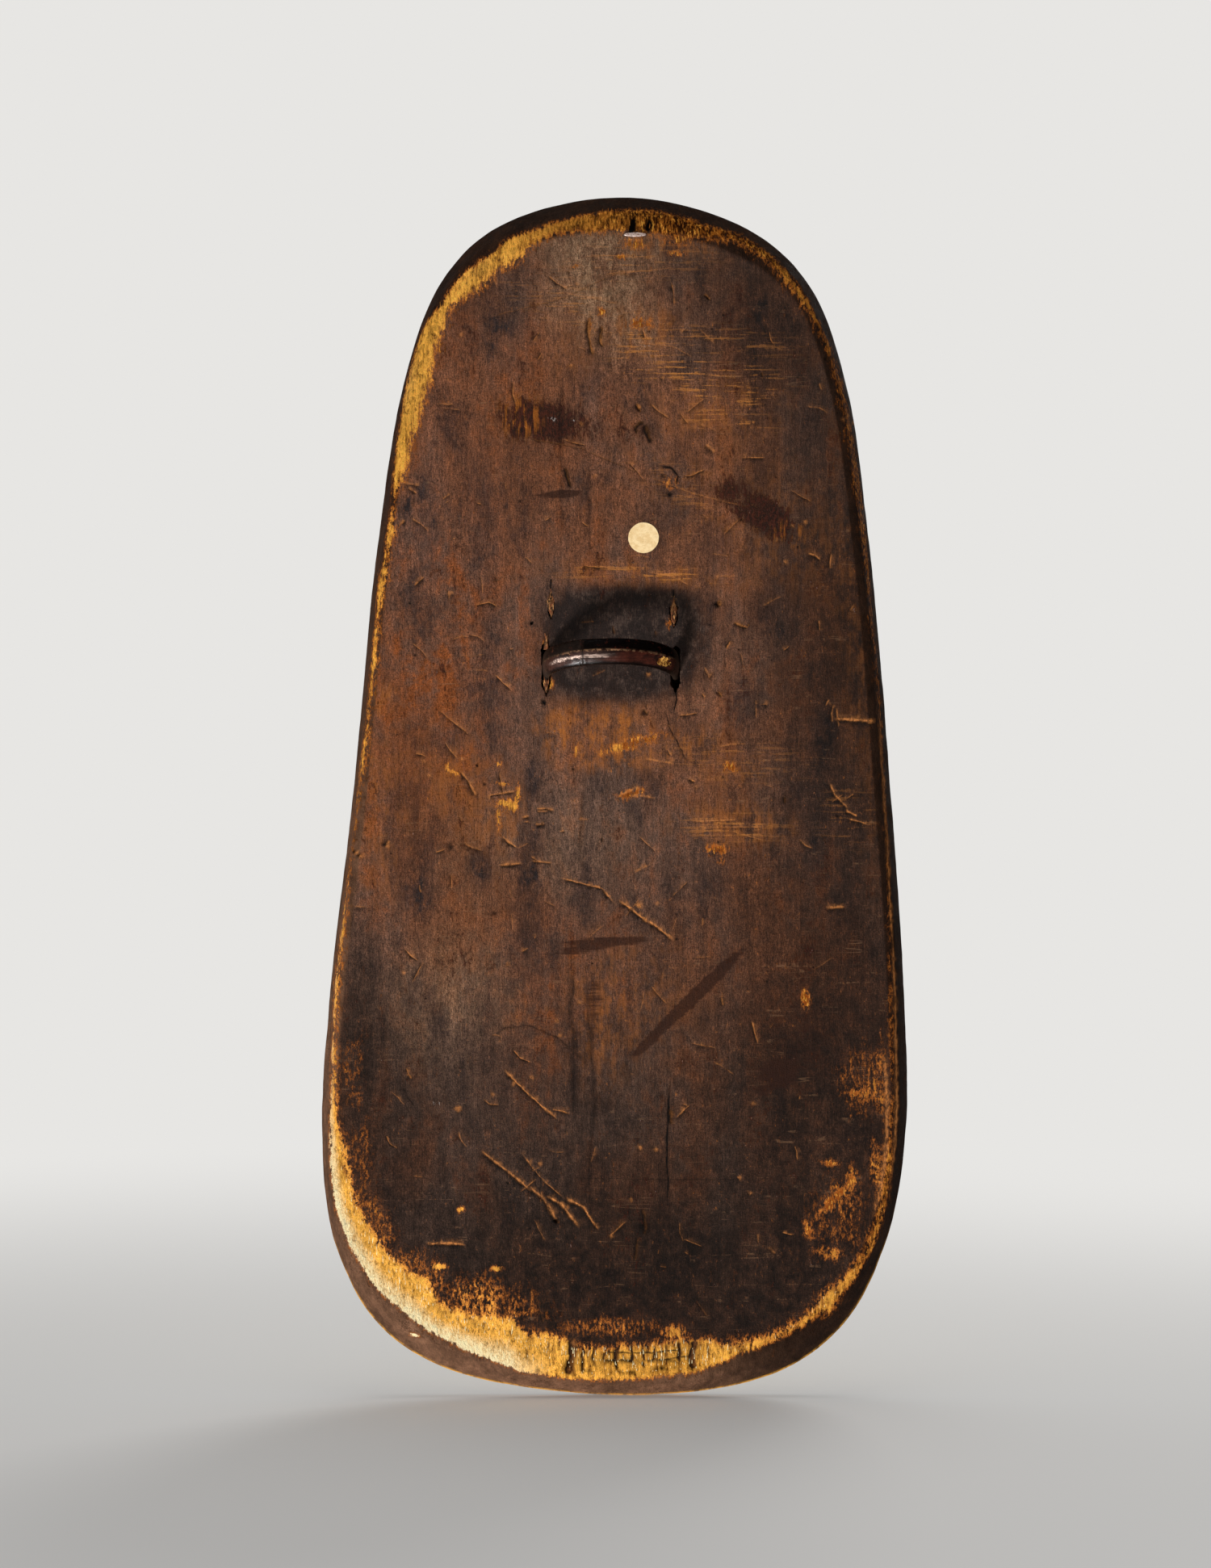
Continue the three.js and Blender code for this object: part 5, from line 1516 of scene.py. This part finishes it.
def fill_slot(node_name, seed, tree, fibre):
    """A broken plug of fibres in a slot: a rough core, and fibres that stand out of its end."""
    name = "broken_" + node_name
    core = shape_of(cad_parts[node_name].data)
    bmesh.ops.remove_doubles(core, verts=core.verts, dist=1e-5)
    bmesh.ops.subdivide_edges(core, edges=core.edges, cuts=3, use_grid_fill=True)
    bmesh.ops.triangulate(core, faces=core.faces)
    middle = sum((vertex.co for vertex in core.verts), Vector()) / len(core.verts)
    outer = min(vertex.co.y for vertex in core.verts)
    for index, vertex in enumerate(core.verts):
        rough = np.random.RandomState(seed * 1000 + index).rand(2)
        pull = 0.06 + 0.12 * rough[0]
        vertex.co.x += (middle.x - vertex.co.x) * pull
        vertex.co.z += (middle.z - vertex.co.z) * pull * 0.3
        if vertex.co.y < outer + BROKEN_DEPTH:
            vertex.co.y += fibre.sunk * (0.4 + 1.4 * rough[1])
    mesh = fill_mesh(bpy.data.meshes.new(name), core)

    end = shape_of(mesh)
    buried = [face for face in end.faces
              if face.normal.y > -0.4 or face.calc_center_median().y > outer + TUFT_DEPTH]
    bmesh.ops.delete(end, geom=buried, context="FACES")
    fibres = grow_splinters(name + "_fibres", end, tree, fibre, seed, direction=20)

    whole = shape_of(mesh, fibres.data)
    bmesh.ops.triangulate(whole, faces=whole.faces)
    bpy.data.objects.remove(fibres)
    fill_mesh(mesh, whole).materials.append(bpy.data.materials["broken_fibre"])
    return linked(name, mesh)


def raise_arris_splinters(board, tree, settings):
    """Torn fibres that lie along the grain on the worn arris."""
    band = shape_of(board.data)
    worn, across = (band.verts.layers.float[name] for name in ("worn", "across"))
    bare = [
        face for face in band.faces
        if min(vertex[worn] for vertex in face.verts) < 0.12 or face.normal.y > -0.8
        or not 0.05 < face.verts[0][across] < 0.85
    ]
    bmesh.ops.delete(band, geom=bare, context="FACES")
    return grow_splinters("arris_splinters", band, tree, settings, settings.seed)


def bend_staple(settings):
    """A flattened iron staple: two round legs and a leaf-shaped crown with hammer marks."""
    crown_y = BACK_Y - FIT_GAP - WIRE / 2
    leg_end = crown_y + (FIT_GAP + WIRE / 2 + STAPLE_REACH)
    corner = np.linspace(0, 1, BEND_PLACES)[:, None]

    def leg(side):
        leg_x, crown_x = STAPLE_X + side * STAPLE_HALF, STAPLE_X + side * (STAPLE_HALF - WIRE_BEND)
        down, outer, inner = np.array([(leg_x, crown_y + WIRE_BEND), (leg_x, crown_y), (crown_x, crown_y)])
        curve = (1 - corner) ** 2 * down + 2 * corner * (1 - corner) * outer + corner ** 2 * inner
        stem = np.linspace((leg_x, leg_end), down, BEND_PLACES)[:-1]
        return np.concatenate([stem, curve])

    left, right = leg(-1), leg(1)[::-1]
    line = np.concatenate([left, np.linspace(left[-1], right[0], CROWN_PLACES)[1:-1], right])
    turns = np.arange(settings.sides) / settings.sides * 2 * np.pi
    x, y = line.T[:, :, None]
    along_x, along_y = unit(np.gradient(line, axis=0)).T[:, :, None]
    share = np.minimum(1, np.abs(x - STAPLE_X) / STAPLE_HALF)
    width = settings.crown_width / MM + (WIRE - settings.crown_width / MM) * share ** 2
    dent = 1 + 0.16 * field_noise(turns * 0.8, x * 0.6, 91) * (share < 0.97)
    out = WIRE / 2 * np.cos(turns) * dent * np.where(share < 0.9, 0.8, 1.0)
    across = width / 2 * np.sin(turns) * (1 + 0.06 * field_noise(x * 0.9, turns * 0, 93))
    rings = np.stack([x + along_y * out, y - along_x * out, STAPLE_Z + across], axis=2)
    return lofted_piece("flattened_staple", rings, "hammered_iron")[0]


def cut_label(settings):
    """The round paper label: thin, slightly cockled, and lifting at one side."""
    low, high = (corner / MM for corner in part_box("paper_dot"))
    centre = (low + high) / 2
    radius = (high.x - low.x) / 2
    turns = np.arange(settings.sides) / settings.sides * 2 * np.pi
    shares = np.array(LABEL_RINGS)[:, None]
    edge = 1 + 0.006 * field_noise(turns * 6, turns * 0, 97)

    def disc(y, share, inset):
        x = centre.x + radius * share * inset * np.cos(turns) * edge
        z = centre.z + radius * share * inset * np.sin(turns) * edge
        cockle = 0.05 * field_noise(x / 3.5, z / 3.5, 101) + 0.05
        towards = (x - centre.x + centre.z - z) / radius / 1.6
        lift = settings.lift / MM * smooth_step(0.6, 1.0, towards) * share
        return np.stack([x, y - (cockle + lift), z], axis=2)

    rings = np.concatenate([disc(high.y, shares, 1.0), disc(low.y, shares[::-1], 0.995)])
    piece, _ = lofted_piece("round_paper_label", rings, "label_stock")
    piece.data.set_sharp_from_angle(angle=LABEL_SHARP_FROM)
    return piece


def pale_stage(settings):
    """A pale floor that fades into the background, soft lamps and the camera."""
    scene = bpy.context.scene
    floor_colour, backdrop = (*settings.floor_colour, 1), (*settings.backdrop, 1)
    bpy.ops.mesh.primitive_circle_add(vertices=96, radius=settings.floor_radius, fill_type="NGON")
    floor = bpy.context.active_object
    floor.name = "studio_floor"
    for vertex in floor.data.vertices:
        vertex.co.z = CAD_BOX[0][2]
    ground = bpy.data.materials.new("studio_floor")
    ground.use_nodes = True
    graph = Graph(ground.node_tree)
    place = graph.node("ShaderNodeTexCoord", output="Object")
    flat = graph.node("ShaderNodeVectorMath", {0: place, 1: (1, 1, 0)}, operation="MULTIPLY")
    away = graph.node("ShaderNodeVectorMath", {0: flat}, "Value", operation="LENGTH")
    diffuse = graph.node("ShaderNodeBsdfDiffuse", {"Color": floor_colour})
    glow = graph.node("ShaderNodeEmission", {"Color": backdrop})
    near = away.step(0.35, 1.5, settings.shadow, 0)
    blend = graph.node("ShaderNodeMixShader", {0: near, 1: glow, 2: diffuse})
    pick = graph.node("ShaderNodeMixShader", {0: graph.seen_directly(), 1: diffuse, 2: blend})
    graph.node("ShaderNodeOutputMaterial", {"Surface": pick})
    floor.data.materials.append(ground)
    floor.visible_shadow = False

    scene.world = bpy.data.worlds.new("pale_studio")
    scene.world.use_nodes = True
    graph = Graph(scene.world.node_tree)
    shown = graph.node("ShaderNodeBackground", {"Color": backdrop})
    lit = graph.node("ShaderNodeBackground", {"Color": (1, 1, 1, 1), "Strength": settings.fill})
    pick = graph.node("ShaderNodeMixShader", {0: graph.seen_directly(), 1: lit, 2: shown})
    graph.node("ShaderNodeOutputWorld", {"Surface": pick})

    centre = Vector((BOARD_MIDDLE[0], BACK_Y, BOARD_MIDDLE[1])) * MM
    for name, offset, size, power in (
        ("key_low_left", settings.key_offset, settings.key_size, settings.key_power),
        ("top_soft", (0.0, 0.1, 2.4), 1.8, settings.top_power),
        ("front_soft", (0.9, 1.9, 0.9), 1.4, settings.front_power),
    ):
        light = bpy.data.lights.new(name, "AREA")
        light.shape = "DISK"
        light.size = size
        light.energy = power
        light.cycles.use_multiple_importance_sampling = False
        lamp = linked(name, light)
        lamp.location = centre + Vector(offset)
        lamp.rotation_euler = (-Vector(offset)).to_track_quat("-Z", "Y").to_euler()
        lamp.visible_camera = False

    lens = bpy.data.cameras.new("photo_camera")
    lens.sensor_fit = "AUTO"
    lens.sensor_width = SENSOR_MM
    lens.lens = SENSOR_MM * CAMERA_DISTANCE / (PHOTO_HEIGHT_PX * MM_PER_PX)
    camera = linked("photo_camera", lens)
    camera.location = Vector((AXIS_X, BACK_Y - CAMERA_DISTANCE, AXIS_Z)) * MM
    camera.rotation_euler = (math.radians(90), 0, 0)
    scene.camera = camera
    scene.view_settings.view_transform = "Standard"


def colour(name, description, *seen):
    return FloatVectorProperty(name=name, description=description, subtype="COLOR", size=4,
                               min=0, max=1, default=ink(*seen))


def amount(name, description, default, **limits):
    return FloatProperty(name=name, description=description, default=default, min=0, **limits)


def length(name, description, default):
    return amount(name, description, default, unit="LENGTH", precision=5)


def count(name, description, default, least=0):
    return IntProperty(name=name, description=description, default=default, min=least)


class WoodColours(bpy.types.PropertyGroup):
    """Colours of the stained and worn board."""

    stain: colour("Stain", "Brown stain over most of the back", 130, 85, 61)
    stain_grey: colour("Grey Stain", "Duller places in the stain", 102, 76, 63)
    stain_ruddy: colour("Ruddy Stain", "Redder places in the stain", 120, 65, 32)
    slate: colour("Slate", "Blue-black smudges", 52, 44, 44)
    bleached: colour("Bleached", "Greyish faded stain", 150, 120, 92)
    # Partly painted shade: the dark down the right side and round the top of the back
    charred: colour("Charred", "Dark smoky foot and sides of the back", 33, 22, 16)
    rubbed: colour("Rubbed", "Orange-brown rubbed places", 176, 104, 46)
    brushed: colour("Brushed", "Fine level brush marks", 208, 134, 66)
    hairline: colour("Hairline", "Fine crossing scratches", 150, 112, 82)
    fleck: colour("Fleck", "Small bright chips", 208, 122, 42)
    soot: colour("Soot", "Dark patch round the grip", 36, 29, 27)
    soot_pale: colour("Rubbed Soot", "Polished places in the dark patch", 84, 68, 60)
    smear: colour("Smear", "Dark red-brown smears", 46, 24, 15)
    chalk: colour("Chalk", "Whitish flecks of old paper", 186, 176, 168)
    residue: colour("Residue", "Crust left by old labels", 72, 32, 22)
    residue_dark: colour("Dark Residue", "Dark grains in the crust", 24, 14, 12)
    wall: colour("Side Wall", "Mauve-brown side wall", 112, 80, 60)
    # Painted shade: the wall's dark colour towards the top and right
    wall_dark: colour("Dark Side Wall", "Side wall round the top", 24, 15, 11)
    worn: colour("Raw Wood", "Golden raw wood on the arris", 250, 180, 74)
    # Painted highlight and painted shade: cream raw wood where the foot faces the key lamp, orange-brown raw
    # wood at the top and right
    worn_pale_highlight: colour("Pale Raw Wood", "Cream raw wood at the foot", 255, 238, 188)
    worn_deep_shade: colour("Deep Raw Wood", "Orange-brown raw wood at the top and right", 138, 66, 12)
    half_worn: colour("Half Worn", "Orange stain left beside the raw wood", 190, 108, 42)
    worn_edge: colour("Raw Wood Edge", "Brown pits in the worn places", 96, 50, 16)
    worn_shadow: colour("Raw Wood Shadow", "Between the torn fibres of the top", 34, 14, 5)
    # Painted highlight: a scratch's pale raw wood is laid on the wall that the key lamp lights
    score: colour("Scratch", "Pale line of a scratch", 206, 132, 72)
    # Painted shade: near black inside splits, holes and slots, and on grooves' lamp-side walls
    gap: colour("Gap", "Inside of splits and holes", 7, 4, 3)


class BoardSettings(bpy.types.PropertyGroup):
    """How finely the board is built."""

    stations: count("Stations", "Points round the outline", 960, 192)
    spacing: length("Spacing", "Distance between points on the back", 0.0026)
    front_spacing: length("Front Spacing", "Distance between points on the front", 0.005)
    relief: length("Wear Relief", "Depth that the worn arris is eaten back", 0.00055)


class FrontPaint(bpy.types.PropertyGroup):
    """Earth paints of the front, in plain bands."""

    lime: colour("Lime", "White ground", 222, 212, 190)
    lime_dull: colour("Dull Lime", "Smoked white ground", 190, 174, 146)
    red: colour("Red Earth", "Red bands", 142, 56, 38)
    black: colour("Soot Black", "Black bands", 42, 36, 33)
    border: length("Border", "Width of the black border", 0.011)
    lens_width: length("Lens Width", "Half width of the long middle figure", 0.062)
    lens_height: length("Lens Height", "Half height of the long middle figure", 0.3)
    ring_width: length("Ring Width", "Half width of the middle rings", 0.05)
    ring_height: length("Ring Height", "Half height of the middle rings", 0.075)


class CaneSettings(bpy.types.PropertyGroup):
    """The bent cane strap."""

    steps: count("Steps", "Rings along the strap", 300, 60)
    sides: count("Sides", "Points round the strap", 36, 12)
    # Painted shade: the upper half's near black colours
    top_left: colour("Top Left", "Upper half, left of the joint", 30, 22, 18)
    top_right: colour("Top Right", "Upper half, right of the joint", 9, 5, 4)
    red: colour("Red", "Red-brown flecks on the upper half", 84, 34, 22)
    under_left: colour("Lower Left", "Lower half at the left", 62, 38, 31)
    under_right: colour("Lower Right", "Lower half at the right", 60, 26, 18)
    # Painted highlight: the key lamp's glint on the lower half
    rubbed: colour("Polished", "Polished streak on the lower half", 244, 210, 192)
    crest: colour("Crest", "Worn line along the crest", 156, 118, 88)
    joint: colour("Joint", "Ring of the cane's joint", 24, 14, 10)
    chip: colour("Chip", "Raw cane in the chip", 246, 184, 92)
    chip_dark: colour("Chip Dark", "Dark fibres in the chip", 120, 60, 22)
    foot: colour("Feet", "Grimy feet of the strap", 52, 40, 32)


class FibreSettings(bpy.types.PropertyGroup):
    """Broken fibres in the slots."""

    pale: colour("Pale Ends", "Ends of the fibres", 208, 150, 94)
    brown: colour("Brown", "Stained fibres", 124, 70, 42)
    # Painted shade between the fibres
    dark: colour("Dark", "Between the fibres", 34, 20, 12)
    density: amount("Density", "Fibres on a square metre", 2.2e6)
    length: length("Length", "Length of a fibre", 0.0046)
    thickness: length("Thickness", "Thickness of a fibre", 0.0008)
    scatter: amount("Scatter", "How far fibres lean", 0.16)
    sunk: length("Sunk", "How far the core is broken back", 0.0007)


class SplinterSettings(bpy.types.PropertyGroup):
    """Splinters raised on the worn arris."""

    density: amount("Density", "Splinters on a square metre", 80000)
    length: length("Length", "Length of a splinter", 0.003)
    thickness: length("Thickness", "Thickness of a splinter", 0.00042)
    scatter: amount("Scatter", "How far splinters lean", 0.1)
    seed: count("Seed", "Seed of the splinters' places", 11)


class StapleSettings(bpy.types.PropertyGroup):
    """The hanging staple."""

    sides: count("Sides", "Points round the wire", 20, 8)
    crown_width: length("Crown Width", "Width of the hammered crown", 0.0027)
    bright: colour("Bright", "Rubbed metal", 176, 156, 148)
    dull: colour("Dull", "Dull metal", 108, 90, 82)
    rust: colour("Rust", "Rust spots", 112, 66, 40)


class LabelSettings(bpy.types.PropertyGroup):
    """The round paper label."""

    sides: count("Sides", "Points round the label", 144, 24)
    lift: length("Lift", "How far one side lifts from the wood", 0.00035)
    cream: colour("Cream", "Paper", 240, 212, 162)
    shadow: colour("Stained Paper", "Stained places in the paper", 226, 192, 138)
    speck: colour("Specks", "Stray fibres in the paper", 196, 158, 106)


class StageSettings(bpy.types.PropertyGroup):
    """Floor, background and lamps."""

    floor_radius: length("Floor Radius", "Radius of the floor", 6.0)
    floor_colour: FloatVectorProperty(name="Floor", description="Colour of the floor", subtype="COLOR",
                                      default=(0.8, 0.79, 0.77))
    backdrop: FloatVectorProperty(name="Background", description="Colour of the background", subtype="COLOR",
                                  default=(0.8, 0.79, 0.77))
    shadow: amount("Shadow", "How much the floor shows the object's shadow", 0.85, max=1, subtype="FACTOR")
    fill: amount("Fill", "Strength of the even light", 0.26)
    key_offset: FloatVectorProperty(name="Key Place", description="Key lamp from the board's middle",
                                    subtype="TRANSLATION", unit="LENGTH", default=(-1.2, -1.9, -1.75))
    key_size: length("Key Size", "Width of the key lamp", 0.62)
    key_power: amount("Key", "Power of the key lamp", 108, unit="POWER")
    top_power: amount("Top", "Power of the soft top lamp", 16, unit="POWER")
    front_power: amount("Front", "Power of the lamp on the painted front", 22, unit="POWER")


SETTINGS = {
    "shield_wood": WoodColours,
    "shield_board": BoardSettings,
    "shield_paint": FrontPaint,
    "shield_cane": CaneSettings,
    "shield_fibre": FibreSettings,
    "shield_splinters": SplinterSettings,
    "shield_staple": StapleSettings,
    "shield_label": LabelSettings,
    "shield_stage": StageSettings,
}


class SHIELD_OT_board(bpy.types.Operator):
    """Carve the board with its scarred back, worn arris and painted front"""

    bl_idname = "shield.board"
    bl_label = "Carved Board"

    def execute(self, context):
        scene = context.scene
        stained_softwood(scene.shield_wood)
        painted_front(scene.shield_wood, scene.shield_paint)
        board = dress_board(scene.shield_board)
        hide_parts("shield_board")
        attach(board, "root")
        return {"FINISHED"}


class SHIELD_OT_strap(bpy.types.Operator):
    """Bend the cane strap through its two slots"""

    bl_idname = "shield.strap"
    bl_label = "Cane Strap"

    def execute(self, context):
        polished_cane(context.scene.shield_cane)
        strap = bend_strap(context.scene.shield_cane)
        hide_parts("cane_handle")
        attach(strap, "root")
        return {"FINISHED"}


class SHIELD_OT_fibres(bpy.types.Operator):
    """Fill the slots with broken fibres and raise splinters along the worn arris"""

    bl_idname = "shield.fibres"
    bl_label = "Broken Fibres"

    def execute(self, context):
        scene = context.scene
        split_fibre(scene.shield_fibre)
        plugs = splinter_nodes("broken_fibre")
        for seed, node in enumerate(
            ("packing_sliver_upper", "packing_sliver_lower", "old_strap_stub_left", "old_strap_stub_right"), 3
        ):
            plug = fill_slot(node, seed, plugs, scene.shield_fibre)
            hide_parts(node)
            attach(plug, "root")
        raw_splinter(scene.shield_wood)
        tufts = splinter_nodes("raw_splinter")
        splinters = raise_arris_splinters(bpy.data.objects["carved_board"], tufts, scene.shield_splinters)
        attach(splinters, "root")
        return {"FINISHED"}


class SHIELD_OT_staple(bpy.types.Operator):
    """Drive the flattened hanging staple under the top edge"""

    bl_idname = "shield.staple"
    bl_label = "Hanging Staple"

    def execute(self, context):
        grey_metal(context.scene.shield_staple)
        staple = bend_staple(context.scene.shield_staple)
        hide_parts("hanging_staple")
        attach(staple, "root")
        return {"FINISHED"}


class SHIELD_OT_label(bpy.types.Operator):
    """Stick on the round blank paper label"""

    bl_idname = "shield.label"
    bl_label = "Paper Label"

    def execute(self, context):
        label_paper(context.scene.shield_label)
        label = cut_label(context.scene.shield_label)
        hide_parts("paper_dot")
        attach(label, "root")
        return {"FINISHED"}


class SHIELD_OT_stage(bpy.types.Operator):
    """Set up the pale floor, the soft lamps and the camera"""

    bl_idname = "shield.stage"
    bl_label = "Studio"

    def execute(self, context):
        pale_stage(context.scene.shield_stage)
        return {"FINISHED"}


OPERATORS = (SHIELD_OT_board, SHIELD_OT_strap, SHIELD_OT_fibres, SHIELD_OT_staple, SHIELD_OT_label,
             SHIELD_OT_stage)


class SHIELD_PT_panel(bpy.types.Panel):
    """Lists the shield's pieces and their settings."""

    bl_label = "Painted Wooden Shield"
    bl_idname = "SHIELD_PT_panel"
    bl_space_type = "VIEW_3D"
    bl_region_type = "UI"
    bl_category = "Shield"

    def draw(self, context):
        layout = self.layout
        for operator in OPERATORS:
            layout.operator(operator.bl_idname)
        for name, group in SETTINGS.items():
            box = layout.box()
            box.label(text=group.__name__)
            for key in group.__annotations__:
                box.prop(getattr(context.scene, name), key)


def register():
    for item in (*SETTINGS.values(), *OPERATORS, SHIELD_PT_panel):
        bpy.utils.register_class(item)
    for name, group in SETTINGS.items():
        setattr(bpy.types.Scene, name, PointerProperty(type=group))


def unregister():
    for name in SETTINGS:
        delattr(bpy.types.Scene, name)
    for item in reversed((*SETTINGS.values(), *OPERATORS, SHIELD_PT_panel)):
        bpy.utils.unregister_class(item)


def main():
    register()
    bpy.ops.shield.stage()
    bpy.ops.shield.board()
    bpy.ops.shield.strap()
    bpy.ops.shield.fibres()
    bpy.ops.shield.staple()
    bpy.ops.shield.label()


if __name__ == "__main__":
    main()
